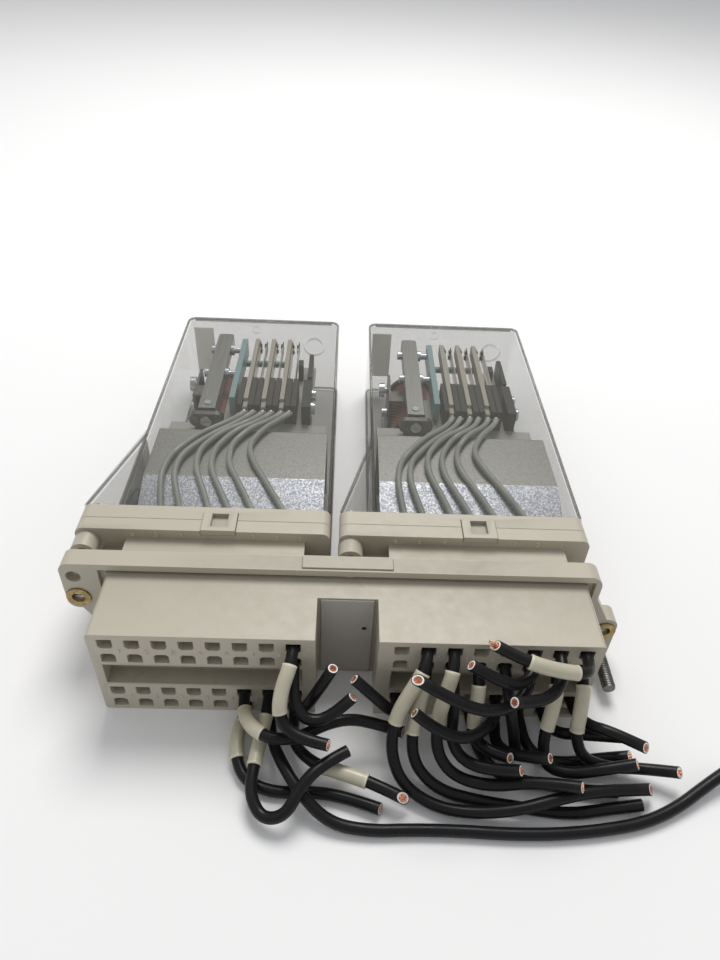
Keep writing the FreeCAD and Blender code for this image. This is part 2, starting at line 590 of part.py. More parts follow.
def frame_screws(side, seat):
    """Fasteners that hold the pile, the coil bracket and the pad, and the armature's pivot pin."""
    pad_screw = fuse(slotted_head("y", ("-(bar_left + bar_right) / 2", "bar_near - 4.2", "32"), "2.3", "1"),
                     rod("y", ("-(bar_left + bar_right) / 2", "bar_near - 3.2", "32"), "1.5", "2.8"))
    clamps = [slotted_head("x", ("26.8", y, "32"), "2.7", "1.8") for y in ("129", "139")]
    bolt = rod("x", ("-31.2", "158.7", "23.3"), "3.4", "2.6")
    stud = rod("x", ("-28.6", "158.7", "23.3"), "1.6", "1.4")
    small = rod("x", ("-29.8", "148.6", "17.4"), "2.2", "2.4")
    pin = rod("z", ("-(bar_left + bar_right) / 2", "bar_pivot", "frame_top"), "pivot_radius",
              "bar_high - frame_top + 0.4")
    node(f"{side}_frame_screws", seat, pad_screw, *clamps, fuse(bolt, stud), small, pin)


# ---- wires and leads ----------------------------------------------------------------------------

def rounded_path(points):
    """Straight runs joined by tangent arcs, and the arc radii."""
    spots = [FreeCAD.Vector(*point) for point in points]
    edges, radii, start = [], [], spots[0]
    for before, here, after in zip(spots, spots[1:], spots[2:]):
        back, ahead = before - here, after - here
        half_turn = (math.pi - back.getAngle(ahead)) / 2
        trim = 0.45 * min(back.Length, ahead.Length)
        radii.append(trim / math.tan(half_turn))
        back.normalize()
        ahead.normalize()
        first, last = here + back * trim, here + ahead * trim
        centre_way = (back + ahead).normalize()
        middle = here + centre_way * (math.hypot(radii[-1], trim) - radii[-1])
        edges.append(Part.LineSegment(start, first).toShape())
        edges.append(Part.Arc(first, middle, last).toShape())
        start = last
    edges.append(Part.LineSegment(start, spots[-1]).toShape())
    return Part.Wire(edges), radii


def pipe(path, heading, diameter):
    """A round solid along a path, checked against its section times its length."""
    ring = Part.Wire(Part.Circle(path.OrderedVertexes[0].Point, heading, diameter / 2).toShape())
    solid = path.makePipeShell([ring], True, False)
    expected = math.pi * diameter ** 2 / 4 * path.Length
    if abs(solid.Volume - expected) > 0.02 * expected:
        raise ValueError(f"a cord's volume is {solid.Volume:.0f}, not {expected:.0f}")
    return solid


def swept(points, diameter):
    """A cord along a rounded path, with its arc radii and its length."""
    path, radii = rounded_path(points)
    heading = FreeCAD.Vector(*points[1]) - FreeCAD.Vector(*points[0])
    return pipe(path, heading, diameter), radii, path.Length


def sleeve(points, first, last):
    """A thin tube around the stretch of a cord between two edges of its rounded path."""
    path = Part.Wire(rounded_path(points)[0].OrderedEdges[first:last + 1])
    heading = path.OrderedEdges[0].tangentAt(path.OrderedEdges[0].FirstParameter)
    bore = size("lead_diameter") + 2 * size("sleeve_gap")
    return pipe(path, heading, bore + 2 * size("sleeve_wall")).cut(pipe(path, heading, bore))


def soft_node(label, seat, shapes):
    """A sub-part whose shapes follow hand-chosen routes."""
    feature = doc.addObject("Part::Feature", label)
    feature.Label = label
    feature.Shape = Part.makeCompound(shapes)
    seat_on(feature, seat)
    nodes[label] = feature


# Ends, humps and drops of the grey wires that run from the contact pile over the sheet box.
INNER_WIRES = [
    [(-0.6, 122.8, 33.6), (-5, 111, 37.2), (-17, 100, 37.5), (-25, 87, 37.5), (-26.6, 76, 37.2),
     (-25, 65, 33.6), (-23, 55, 30.2)],
    [(3.0, 122.8, 33.6), (-2, 110, 37.2), (-13, 99, 37.5), (-21, 87, 37.5), (-22, 76, 37.2),
     (-18.5, 65, 33.6), (-15.5, 55, 30.2)],
    [(7.1, 122.8, 33.6), (3, 111, 37.2), (-8, 102, 37.5), (-14.5, 91, 37.5), (-14.5, 80, 37.4),
     (-9.4, 68, 34.7), (-4.5, 55, 30.2)],
    [(10.7, 122.8, 33.6), (6.5, 111, 37.2), (-3, 103, 37.5), (-9, 91, 37.5), (-8.6, 79, 37.4),
     (-2.4, 67, 34.3), (3.6, 55, 30.2)],
    [(14.9, 122.8, 33.6), (11, 112, 37.2), (3, 105, 37.5), (-2.6, 95, 37.5), (-2.6, 83, 37.5),
     (4.4, 70, 35.3), (12.5, 55, 30.2)],
    [(18.4, 122.8, 33.6), (15, 113, 37.2), (8.6, 105, 37.5), (4, 94, 37.5), (7.4, 83, 37.5),
     (15, 70, 35.3), (24.6, 55, 30.2)],
]


def inner_wires(side, seat):
    shapes = [swept(route, size("wire_diameter"))[0] for route in INNER_WIRES]
    soft_node(f"{side}_inner_wires", seat, shapes)


# Routes of the cut field leads, from the wire entry to the cut end, in groups of one sub-part each.
LEADS = {
    "leads_left_upper": {
        "top": [(-16.3, 5, 33.6), (-16.3, -4, 33.6), (-19.4, -11, 28), (-19.8, -15.6, 20.8),
            (-14.6, -20, 18), (-6, -21.6, 17.4)],
        "riser": [(-16.3, 5, 9.95), (-16.3, -4, 9.95), (-13.2, -8.6, 14), (-9.8, -7.8, 20.6),
            (-5, -3.8, 27.6)],
        "perch": [(-16.3, 5, 26.9), (-16.3, -4, 26.9), (-15.6, -11, 22.6), (-12, -15.4, 19.4),
            (-5, -14.4, 19.2), (1, -10, 22.6)],
    },
    "leads_left_lower": {
        "sweep": [(-32.4, 5, 3.6), (-32.4, -4, 3.6), (-34, -14.5, 4.4), (-31, -24.5, 2.4),
            (-21.5, -28.6, 1.9), (-10.5, -28, 1.9), (0, -29.4, 2.2), (10, -33, 2.6)],
        "arch": [(-32.4, 5, 9.95), (-32.4, -4, 9.95), (-29.8, -12.5, 12.4), (-22.6, -18.2, 13.6),
            (-14, -17.6, 13.6), (-6.4, -13.4, 14.6), (1.4, -11, 14.2),
            (9, -11.4, 12.6), (16.5, -12.6, 10.6)],
        "loop": [(-24.4, 5, 9.95), (-24.4, -4, 9.95), (-25.6, -13, 8), (-27, -22.6, 7.4), (-27.6, -31, 6),
            (-23.4, -37.6, 4), (-16.4, -37.6, 6.4), (-12.4, -31, 11.4), (-6.6, -25, 12.4),
            (0.2, -20.6, 11.6)],
        "cuff": [(-16.3, 5, 3.6), (-16.3, -4, 3.6), (-16.2, -14, 5), (-9.8, -21.6, 6.6), (0, -24.8, 7),
            (8, -27.4, 6.8), (15, -30.6, 6.4)],
    },
    "leads_left_long": {
        "long": [(-24.4, 5, 3.6), (-24.4, -4, 3.6), (-22.4, -14, 5), (-18.8, -22.5, 8.2), (-13, -31, 7.2),
            (-4.5, -37.6, 2.8), (7, -39.4, 1.9), (20, -38.8, 1.9), (34, -38.9, 1.9), (48, -39.6, 1.9),
            (62, -39.4, 1.9), (76, -38, 1.9), (89, -35.6, 1.9), (100, -31, 2.2), (110, -25, 3.6),
            (118, -20.6, 5)],
    },
    "leads_right_sleeved": {
        "first": [(24.4, 5, 33.6), (24.4, -4, 33.6), (19.2, -9.4, 27), (15, -13, 19), (13.6, -19, 11),
            (17, -26.5, 4.8), (26.5, -32.4, 2.8), (38, -34.4, 3.4), (50, -34.6, 6), (62, -32, 7.6),
            (75, -28.8, 7.4), (90, -27.4, 5.6)],
        "second": [(24.4, 5, 26.9), (24.4, -4, 26.9), (21.8, -10.6, 19.6), (20, -16, 12), (21.4, -22, 6.4),
            (28.5, -27.6, 3.2), (40, -30, 2.1), (53, -31.8, 1.9), (67, -33.6, 1.9), (79, -31.8, 2.2),
            (88.4, -30.8, 2.8)],
        "third": [(32.4, 5, 33.6), (32.4, -4, 33.6), (29.4, -10, 26), (27.4, -14, 18), (27.6, -20, 10.6),
            (33, -25.2, 6.6), (44, -28, 6.8), (56.5, -27.6, 9.8), (68, -30.4, 12.2)],
    },
    "leads_right_inner": {
        "flat": [(16.3, 5, 9.95), (16.3, -4, 9.95), (14.4, -8.6, 14.4), (10, -8.4, 20), (2.6, -5.4, 26)],
        "drop": [(32.4, 5, 26.9), (32.4, -4, 26.9), (32.8, -10.4, 19), (32, -16, 12), (35, -22, 10.8),
            (42.5, -25.2, 11), (50.6, -26.4, 13.4)],
        "hook": [(40.4, 5, 26.9), (40.4, -4, 26.9), (40, -8.2, 19.6), (39.2, -11.8, 12.6),
            (41.4, -17.4, 9.2), (48.4, -21, 11.4)],
        "reach": [(48.5, 5, 9.95), (48.5, -4, 9.95), (44.4, -12.4, 14.4), (36.4, -19.6, 18),
            (27.4, -19.6, 21.4), (20.6, -16, 25)],
        "stub": [(48.5, 5, 26.9), (48.5, -4, 26.9), (50.2, -9.4, 19), (51.8, -13, 12), (53, -16, 5)],
        "deep": [(40.4, 5, 3.6), (40.4, -4, 3.6), (41.6, -13.4, 3), (46.4, -21.2, 2), (55, -23.6, 1.9),
            (64, -24.8, 1.9), (73, -26.4, 2), (82, -26.6, 2.4)],
    },
    "leads_right_upper": {
        "bow": [(56.5, 5, 26.9), (56.5, -4, 26.9), (51, -12.6, 26.2), (42, -17, 28.4), (32.4, -16.6, 31.6),
            (22.2, -12.6, 35.4)],
        "crook": [(56.5, 5, 33.6), (56.5, -4, 33.6), (52.4, -10, 32.8), (45.6, -11.4, 34.2), (37, -7.6, 37)],
        "nod": [(64.5, 5, 33.6), (64.5, -4, 33.6), (62.6, -10.8, 32), (55.8, -15.4, 31.6),
            (48.6, -16.8, 33.6)],
        "bare": [(72.6, 5, 33.6), (72.6, -4, 33.6), (69.6, -9, 36.8), (61, -9.4, 38.6), (52, -7.6, 40),
            (44.5, -4, 41.4)],
    },
    "leads_right_outer": {
        "fall": [(64.5, 5, 26.9), (64.5, -4, 26.9), (62.8, -10.4, 19), (60.6, -15, 11.4), (61, -20.6, 6),
            (68, -23.2, 6), (77, -23.4, 9.2), (86.4, -23, 11.8)],
        "edge": [(72.6, 5, 26.9), (72.6, -4, 26.9), (71.6, -10, 19.4), (70.6, -14.4, 12), (73.4, -18.6, 6.6),
            (82, -19.6, 3.8), (92, -20, 4.4), (100.4, -22.4, 7)],
        "rise": [(48.5, 5, 3.6), (48.5, -4, 3.6), (47, -13, 5), (51, -19.8, 9.4), (60, -22.6, 14)],
        "tail": [(72.6, 5, 9.95), (72.6, -4, 9.95), (75.6, -10.6, 12.4), (81, -14, 15), (89, -18, 14.4)],
        "low": [(56.5, 5, 3.6), (56.5, -4, 3.6), (57.4, -12, 2.6), (62.4, -16.8, 1.9), (71, -17.2, 1.9),
            (80, -15.6, 2), (88, -15.6, 3.4)],
        "back": [(64.5, 5, 3.6), (64.5, -4, 3.6), (67.4, -9.6, 6), (74.5, -10.6, 7.2),
            (85, -12.4, 9.2)],
    },
}

# The first and last path edges that each marker sleeve covers.
SLEEVES = {
    "top": (1, 3), "loop": (1, 3), "cuff": (4, 5), "sweep": (1, 2), "arch": (1, 3), "first": (1, 3),
    "second": (1, 3), "third": (1, 3), "hook": (1, 3), "fall": (1, 3), "edge": (1, 3), "bare": (3, 4),
}


def field_leads():
    """The cut leads, the crimp contact that each ends in, and the marker sleeves on some of them."""
    crimps, sleeves = [], []
    for label, group in LEADS.items():
        cords = []
        for name, route in group.items():
            cord, radii, length = swept(route, size("lead_diameter"))
            print(f"{name}: {length:.1f} long, radii", " ".join(f"{radius:.1f}" for radius in radii))
            cords.append(cord)
            if name in SLEEVES:
                sleeves.append(sleeve(route, *SLEEVES[name]))
            x, _, z = route[0]
            crimps.append(box((f"{x} - 1.6", f"{x} + 1.6"), ("lead_start", "well_face - 0.5"),
                              (f"{z} - 1.5", f"{z} + 1.5")))
        soft_node(label, MIDDLE, cords)
    node("crimp_contacts", MIDDLE, *crimps)
    soft_node("marker_sleeves", MIDDLE, sleeves)


# ---- make everything ----------------------------------------------------------------------------

RELAY_PIECES = (relay_base, plug_blades, cover_frame, latch_tab, clear_cover, label_plate, fixing_screw,
                magnet_box, coils, coil_cheek, contact_frame, contact_pile, moving_contacts, armature,
                frame_screws, inner_wires)

terminal_base_housing()
base_hardware()
field_leads()
for side, seat in (("left", LEFT_SEAT), ("right", RIGHT_SEAT)):
    for piece in RELAY_PIECES:
        piece(side, seat)

doc.recompute()
for thing in doc.Objects:
    if {"Invalid", "Error"} & set(thing.State):
        raise RuntimeError(f"{thing.Name} ({thing.Label}) failed: {thing.State}")
    if thing.TypeId == "PartDesign::Pocket" and thing.Shape.Volume > thing.BaseFeature.Shape.Volume - 0.5:
        raise RuntimeError(f"{thing.Name} cuts nothing")
os.makedirs("parts", exist_ok=True)
for label, thing in nodes.items():
    if thing.Shape.isNull() or not thing.Shape.isValid() or not thing.Shape.Solids:
        raise RuntimeError(f"{label} has no sound solid")
    thing.Shape.exportStep(os.path.join("parts", f"{label}.step"))
print(f"{len(nodes)} sub-parts")
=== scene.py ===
import json
import math

import bmesh
import bpy
from mathutils import Matrix, Vector


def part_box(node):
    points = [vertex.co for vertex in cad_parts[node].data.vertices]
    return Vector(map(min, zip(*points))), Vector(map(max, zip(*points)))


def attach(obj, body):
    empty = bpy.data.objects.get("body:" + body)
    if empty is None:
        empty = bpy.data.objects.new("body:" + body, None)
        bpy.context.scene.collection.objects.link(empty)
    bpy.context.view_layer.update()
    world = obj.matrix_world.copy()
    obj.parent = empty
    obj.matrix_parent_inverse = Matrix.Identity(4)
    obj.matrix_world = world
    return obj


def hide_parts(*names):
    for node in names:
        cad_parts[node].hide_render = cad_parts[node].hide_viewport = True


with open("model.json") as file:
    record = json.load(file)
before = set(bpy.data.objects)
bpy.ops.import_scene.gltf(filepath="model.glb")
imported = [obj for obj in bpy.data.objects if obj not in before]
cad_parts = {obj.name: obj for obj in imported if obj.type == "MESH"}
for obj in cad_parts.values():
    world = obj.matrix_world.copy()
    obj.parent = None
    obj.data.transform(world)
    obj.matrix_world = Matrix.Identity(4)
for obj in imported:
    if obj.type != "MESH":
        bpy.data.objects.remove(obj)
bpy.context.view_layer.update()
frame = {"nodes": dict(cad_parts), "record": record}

# Two clear-covered control relays on one terminal base, with cut field leads. Everything is in metres.

MM = 0.001
scene = bpy.context.scene

# The front face of the terminal block, and the middle of each relay's seat.
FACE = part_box("terminal_base_housing")[0][1]
SEAT_INSET = 48.1 * MM
SEATS = {
    "left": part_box("left_relay_base")[0][0] + SEAT_INSET,
    "right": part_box("right_relay_base")[0][0] + SEAT_INSET,
}


def bench(x, y, z):
    """A place given as x, depth behind the terminal face and height above the bench."""
    return Vector((x, FACE + y, z))


# ---- camera and studio --------------------------------------------------------------------------

CAMERA_PLACE = (-0.00365, -0.23152, 0.21361)
CAMERA_PITCH, CAMERA_YAW, CAMERA_ROLL = -40.03, 1.98, 2.98
CAMERA_LENS = 27.34
CAMERA_NEAR = 10 * MM

KEY_PLACE, KEY_SIZE, KEY_POWER, KEY_TINT = (0.10, 0.60, 1.2), 0.7, 12, (1.0, 0.985, 0.96)
FILL_PLACE, FILL_SIZE, FILL_POWER, FILL_TINT = (-0.8, -0.3, 1.0), 0.9, 0.8, (0.95, 0.97, 1.0)
SKY_TINT, SKY_POWER = (0.93, 0.94, 0.96, 1), 0.5
FLOOR_REACH = 3.0


def aim_camera():
    pitch, yaw, roll = (math.radians(angle) for angle in (CAMERA_PITCH, CAMERA_YAW, CAMERA_ROLL))
    ahead = Vector((math.sin(yaw) * math.cos(pitch), math.cos(yaw) * math.cos(pitch), math.sin(pitch)))
    level = Vector((math.cos(yaw), -math.sin(yaw), 0))
    upward = level.cross(ahead)
    right = level * math.cos(roll) + upward * math.sin(roll)
    over = upward * math.cos(roll) - level * math.sin(roll)
    data = bpy.data.cameras.new("camera")
    data.lens = CAMERA_LENS
    data.clip_start = CAMERA_NEAR
    camera = bpy.data.objects.new("camera", data)
    turned = Matrix((right, over, -ahead)).transposed().to_4x4()
    camera.matrix_world = Matrix.Translation(CAMERA_PLACE) @ turned
    scene.collection.objects.link(camera)
    scene.camera = camera


def lamp(name, place, size, power, tint):
    """A round area light that faces the middle of the object."""
    data = bpy.data.lights.new(name, "AREA")
    data.shape = "DISK"
    data.size = size
    data.energy = power
    data.color = tint
    light = bpy.data.objects.new(name, data)
    light.location = place
    light.rotation_euler = (-Vector(place)).to_track_quat("-Z", "Y").to_euler()
    scene.collection.objects.link(light)


def studio():
    """Two lamps, a pale sky and a white floor."""
    scene.view_settings.view_transform = "Standard"
    lamp("key", KEY_PLACE, KEY_SIZE, KEY_POWER, KEY_TINT)
    lamp("fill", FILL_PLACE, FILL_SIZE, FILL_POWER, FILL_TINT)
    world = bpy.data.worlds.new("studio")
    world.use_nodes = True
    sky = world.node_tree.nodes["Background"]
    sky.inputs["Color"].default_value = SKY_TINT
    sky.inputs["Strength"].default_value = SKY_POWER
    scene.world = world
    mesh = bpy.data.meshes.new("floor")
    corners = [(x * FLOOR_REACH, y * FLOOR_REACH, 0) for x, y in ((-1, -1), (1, -1), (1, 1), (-1, 1))]
    mesh.from_pydata(corners, [], [(0, 1, 2, 3)])
    floor = bpy.data.objects.new("floor", mesh)
    scene.collection.objects.link(floor)
    floor.data.materials.append(plain_floor())


# ---- materials ----------------------------------------------------------------------------------

BLACK, WHITE = (0, 0, 0), (1, 1, 1)

# Depths behind the terminal face where a finish changes along one piece.
ROOF_FROM = 76.8 * MM
SPRING_TIPS_FROM = 173.6 * MM


def blank(name, roughness, metallic=0.0):
    """A new node material with its Principled shader and object coordinates."""
    material = bpy.data.materials.new(name)
    material.use_nodes = True
    nodes, links = material.node_tree.nodes, material.node_tree.links
    shader = nodes["Principled BSDF"]
    shader.inputs["Roughness"].default_value = roughness
    shader.inputs["Metallic"].default_value = metallic
    place = nodes.new("ShaderNodeTexCoord")
    return material, nodes, links, shader, place.outputs["Object"]


def noise(nodes, links, place, scale, detail=4.0, roughness=0.55, stretch=None):
    texture = nodes.new("ShaderNodeTexNoise")
    texture.inputs["Scale"].default_value = scale
    texture.inputs["Detail"].default_value = detail
    texture.inputs["Roughness"].default_value = roughness
    if stretch:
        shape = nodes.new("ShaderNodeMapping")
        shape.inputs["Scale"].default_value = stretch
        links.new(place, shape.inputs["Vector"])
        place = shape.outputs["Vector"]
    links.new(place, texture.inputs["Vector"])
    return texture.outputs["Fac"]


def ramp(nodes, links, value, *stops):
    """Colours or, from plain numbers, greys along a value from 0 to 1."""
    band = nodes.new("ShaderNodeValToRGB")
    for _ in stops[2:]:
        band.color_ramp.elements.new(0.5)
    for element, (position, colour) in zip(band.color_ramp.elements, stops):
        element.position = position
        element.color = (*colour, 1) if isinstance(colour, tuple) else (colour, colour, colour, 1)
    links.new(value, band.inputs["Fac"])
    return band.outputs["Color"]


def plain(nodes, colour):
    tint = nodes.new("ShaderNodeRGB")
    tint.outputs[0].default_value = (*colour, 1)
    return tint.outputs[0]


def mixed(nodes, links, factor, first, second, blend="MIX"):
    mix = nodes.new("ShaderNodeMix")
    mix.data_type = "RGBA"
    mix.blend_type = blend
    if isinstance(factor, float):
        mix.inputs["Factor"].default_value = factor
    else:
        links.new(factor, mix.inputs["Factor"])
    links.new(first, mix.inputs["A"])
    links.new(second, mix.inputs["B"])
    return mix.outputs["Result"]


def beyond(nodes, links, place, depth):
    """1 where the surface lies deeper behind the terminal face than the depth, else 0."""
    axes = nodes.new("ShaderNodeSeparateXYZ")
    links.new(place, axes.inputs["Vector"])
    past = nodes.new("ShaderNodeMath")
    past.operation = "GREATER_THAN"
    past.inputs[1].default_value = FACE + depth
    links.new(axes.outputs["Y"], past.inputs[0])
    return past.outputs[0]


def bump(nodes, links, shader, height, strength, distance, edge=0.3 * MM):
    """Surface relief, over softly rounded edges."""
    relief = nodes.new("ShaderNodeBump")
    relief.inputs["Strength"].default_value = strength
    relief.inputs["Distance"].default_value = distance
    links.new(height, relief.inputs["Height"])
    soft = nodes.new("ShaderNodeBevel")
    soft.samples = 4
    soft.inputs["Radius"].default_value = edge
    links.new(soft.outputs["Normal"], relief.inputs["Normal"])
    links.new(relief.outputs["Normal"], shader.inputs["Normal"])


def worn(nodes, links, colour, edge_colour):
    """The colour, paler or darker along the edges that hands and tools rub."""
    shape = nodes.new("ShaderNodeNewGeometry")
    mask = ramp(nodes, links, shape.outputs["Pointiness"], (0.5, BLACK), (0.56, WHITE))
    return mixed(nodes, links, mask, colour, plain(nodes, edge_colour))


def moulded(name, light, dark, roughness=0.5, grain=900.0, relief=0.25, soil=(0.22, 0.18, 0.11), rub=None,
            shine=0.5):
    """Moulded plastic: slow colour drift, fine grain, soiling in patches and rubbed edges."""
    material, nodes, links, shader, place = blank(name, roughness)
    shader.inputs["Specular IOR Level"].default_value = shine
    drift = ramp(nodes, links, noise(nodes, links, place, 38.0), (0.3, dark), (0.7, light))
    patches = ramp(nodes, links, noise(nodes, links, place, 110.0, 7.0, 0.68), (0.60, BLACK), (0.86, 0.55))
    colour = mixed(nodes, links, patches, drift, plain(nodes, soil))
    colour = worn(nodes, links, colour, rub or tuple(min(1, 1.12 * part) for part in light))
    links.new(colour, shader.inputs["Base Color"])
    gloss = ramp(nodes, links, noise(nodes, links, place, 240.0),
                 (0.2, roughness - 0.1), (0.8, roughness + 0.12))
    links.new(gloss, shader.inputs["Roughness"])
    bump(nodes, links, shader, noise(nodes, links, place, grain, 3.0), relief, 0.15 * MM)
    return material


def metal(name, light, dark, roughness, scale=300.0, stretch=(1, 1, 1), relief=0.2):
    """Metal with brushed or mottled variation in colour, gloss and relief."""
    material, nodes, links, shader, place = blank(name, roughness, 1.0)
    grain = noise(nodes, links, place, scale, 6.0, 0.6, stretch)
    links.new(ramp(nodes, links, grain, (0.25, dark), (0.72, light)), shader.inputs["Base Color"])
    links.new(ramp(nodes, links, grain, (0.2, roughness + 0.15), (0.8, roughness - 0.08)),
              shader.inputs["Roughness"])
    bump(nodes, links, shader, grain, relief, 0.1 * MM, 0.2 * MM)
    return material


def galvanised():
    """Zinc-coated sheet: dull speckle on the level roof, bright crystal spangle on the sloped brow."""
    material, nodes, links, shader, place = blank("galvanised_sheet", 0.42, 0.8)
    crystals = nodes.new("ShaderNodeTexVoronoi")
    crystals.inputs["Scale"].default_value = 2300.0
    links.new(place, crystals.inputs["Vector"])
    grey = nodes.new("ShaderNodeRGBToBW")
    links.new(crystals.outputs["Color"], grey.inputs["Color"])
    speckle = grey.outputs["Val"]
    bright = ramp(nodes, links, speckle,
                  (0.2, (0.30, 0.32, 0.37)), (0.5, (0.43, 0.45, 0.50)), (0.8, (0.70, 0.72, 0.78)))
    dull = ramp(nodes, links, speckle,
                (0.2, (0.30, 0.30, 0.28)), (0.5, (0.34, 0.34, 0.32)), (0.8, (0.39, 0.39, 0.37)))
    cloud = ramp(nodes, links, noise(nodes, links, place, 420.0, 6.0, 0.6, (1, 3, 1)),
                 (0.3, (0.84, 0.83, 0.80)), (0.7, WHITE))
    sheet = mixed(nodes, links, beyond(nodes, links, place, ROOF_FROM), bright, dull)
    links.new(mixed(nodes, links, 0.7, sheet, cloud, "MULTIPLY"), shader.inputs["Base Color"])
    links.new(ramp(nodes, links, speckle, (0, 0.55), (1, 0.3)), shader.inputs["Roughness"])
    bump(nodes, links, shader, speckle, 0.15, 0.05 * MM)
    return material


def spring_blades():
    """Pale spring blades with darker, worn contact faces near their free ends."""
    material, nodes, links, shader, place = blank("spring_blades", 0.34, 0.75)
    grain = noise(nodes, links, place, 520.0, 6.0)
    blade = ramp(nodes, links, grain, (0.25, (0.52, 0.49, 0.42)), (0.72, (0.74, 0.71, 0.63)))
    worn_face = ramp(nodes, links, grain, (0.35, (0.035, 0.032, 0.028)), (0.7, (0.16, 0.15, 0.13)))
    tips = beyond(nodes, links, place, SPRING_TIPS_FROM)
    links.new(mixed(nodes, links, tips, blade, worn_face), shader.inputs["Base Color"])
    bump(nodes, links, shader, grain, 0.2, 0.1 * MM, 0.2 * MM)
    return material


def clear(name, tint, alpha, roughness):
    """Clear moulding, aged and faintly hazed, with fine wipe marks."""
    material, nodes, links, shader, place = blank(name, roughness)
    shader.inputs["Alpha"].default_value = alpha
    shader.inputs["IOR"].default_value = 1.49
    shader.inputs["Coat Weight"].default_value = 0.6
    shader.inputs["Coat Roughness"].default_value = 0.04
    streaks = noise(nodes, links, place, 170.0, 5.0, 0.6, (1, 0.25, 1))
    links.new(ramp(nodes, links, streaks, (0.2, tuple(0.86 * part for part in tint)), (0.8, tint)),
              shader.inputs["Base Color"])
    links.new(ramp(nodes, links, streaks, (0.3, roughness), (0.8, roughness + 0.1)),
              shader.inputs["Roughness"])
    bump(nodes, links, shader, streaks, 0.05, 0.1 * MM, 0.4 * MM)
    material.surface_render_method = "BLENDED"
    return material


def plain_floor():
    material, nodes, links, shader, place = blank("pale_floor", 0.85)
    links.new(ramp(nodes, links, noise(nodes, links, place, 3.0), (0, 0.90), (1, 0.94)),
              shader.inputs["Base Color"])
    return material


def wound(name, light, dark, pitch):
    """Varnished winding tape: even turns seen as fine bands."""
    material, nodes, links, shader, place = blank(name, 0.4)
    bands = nodes.new("ShaderNodeTexWave")
    bands.inputs["Scale"].default_value = pitch
    bands.inputs["Distortion"].default_value = 1.2
    bands.bands_direction = "DIAGONAL"
    links.new(place, bands.inputs["Vector"])
    turns = bands.outputs["Fac"]
    links.new(ramp(nodes, links, turns, (0.2, dark), (0.7, light)), shader.inputs["Base Color"])
    bump(nodes, links, shader, turns, 0.4, 0.2 * MM)
    return material


# Each plastic: light and dark shades, then roughness, grain, relief, soil, rubbed edge and shine.
PLASTICS = {
    "beige_moulding": ((0.43, 0.395, 0.32), (0.345, 0.315, 0.25), 0.46, 900.0, 0.3, (0.20, 0.155, 0.085)),
    # The label card: a pale card, painted paler still as painted light that offsets the shade on its front
    # face, which faces away from the key lamp.
    "label_card": ((0.88, 0.85, 0.77), (0.78, 0.75, 0.67), 0.5, 700.0),
    # The raised numerals: paler than the moulding, partly dust and wear, partly a painted highlight standing
    # in for light on their raised edges.
    "raised_beige_wear_and_painted_highlight": ((0.60, 0.56, 0.47), (0.52, 0.48, 0.40), 0.5),
    "cream_plastic": ((0.40, 0.37, 0.30), (0.32, 0.295, 0.235), 0.55, 700.0),
    "black_plastic": ((0.018, 0.019, 0.020), (0.009, 0.0095, 0.010), 0.42, 800.0, 0.2,
                      (0.06, 0.055, 0.05), (0.05, 0.05, 0.05), 0.3),
    "grey_plastic": ((0.40, 0.40, 0.37), (0.32, 0.32, 0.30), 0.45, 600.0),
    "blue_plastic": ((0.24, 0.37, 0.38), (0.18, 0.30, 0.31), 0.38, 500.0),
    "grey_wire": ((0.34, 0.36, 0.32), (0.25, 0.27, 0.235), 0.38, 900.0, 0.12,
                  (0.18, 0.18, 0.15), (0.46, 0.48, 0.43)),
    "black_sheath": ((0.007, 0.007, 0.008), (0.003, 0.003, 0.004), 0.31, 500.0, 0.25,
                     (0.022, 0.021, 0.019), (0.015, 0.015, 0.016), 0.2),
    "sleeve_cream": ((0.58, 0.55, 0.43), (0.27, 0.24, 0.15), 0.32, 300.0, 0.45, (0.08, 0.06, 0.04)),
    "core_white": ((0.86, 0.84, 0.80), (0.76, 0.73, 0.67), 0.6, 900.0),
    "plate_grey": ((0.42, 0.40, 0.37), (0.33, 0.315, 0.29), 0.36, 700.0),
}

# Each metal: light and dark shades, then roughness, grain, stretch and relief.
METALS = {
    "brass": ((0.52, 0.40, 0.19), (0.22, 0.15, 0.06), 0.38, 500.0),
    "zinc_steel": ((0.76, 0.78, 0.82), (0.48, 0.50, 0.54), 0.28, 420.0),
    "dark_steel": ((0.25, 0.24, 0.23), (0.11, 0.105, 0.10), 0.42, 380.0),
    "contact_silver": ((0.88, 0.87, 0.83), (0.62, 0.60, 0.55), 0.26, 520.0),
    "brushed_iron": ((0.42, 0.42, 0.40), (0.22, 0.22, 0.205), 0.36, 260.0, (1, 0.06, 1), 0.35),
    "copper": ((0.88, 0.42, 0.26), (0.42, 0.15, 0.08), 0.34, 1500.0),
}

FINISH = {name: moulded(name, *look) for name, look in PLASTICS.items()}
FINISH["clear_plastic"] = clear("clear_plastic", (0.21, 0.205, 0.175), 0.17, 0.04)
# Half-opaque dark finish for the covers' edge-on lines: painted shade along the clear walls where they are
# seen edge-on.
FINISH["edge_on_painted_shade"] = clear("edge_on_painted_shade", (0.13, 0.115, 0.09), 0.5, 0.1)
FINISH["galvanised_sheet"] = galvanised()
FINISH["spring_blades"] = spring_blades()
FINISH.update((name, metal(name, *look)) for name, look in METALS.items())
FINISH["winding_tape"] = wound("winding_tape", (0.34, 0.10, 0.08), (0.17, 0.045, 0.04), 260.0)

# CAD nodes whose finish differs from that of their slot, by the end of their name.
SPECIAL_FINISH = {"moving_springs": "spring_blades", "fixed_contacts": "spring_blades",
                  "label_plate": "label_card"}


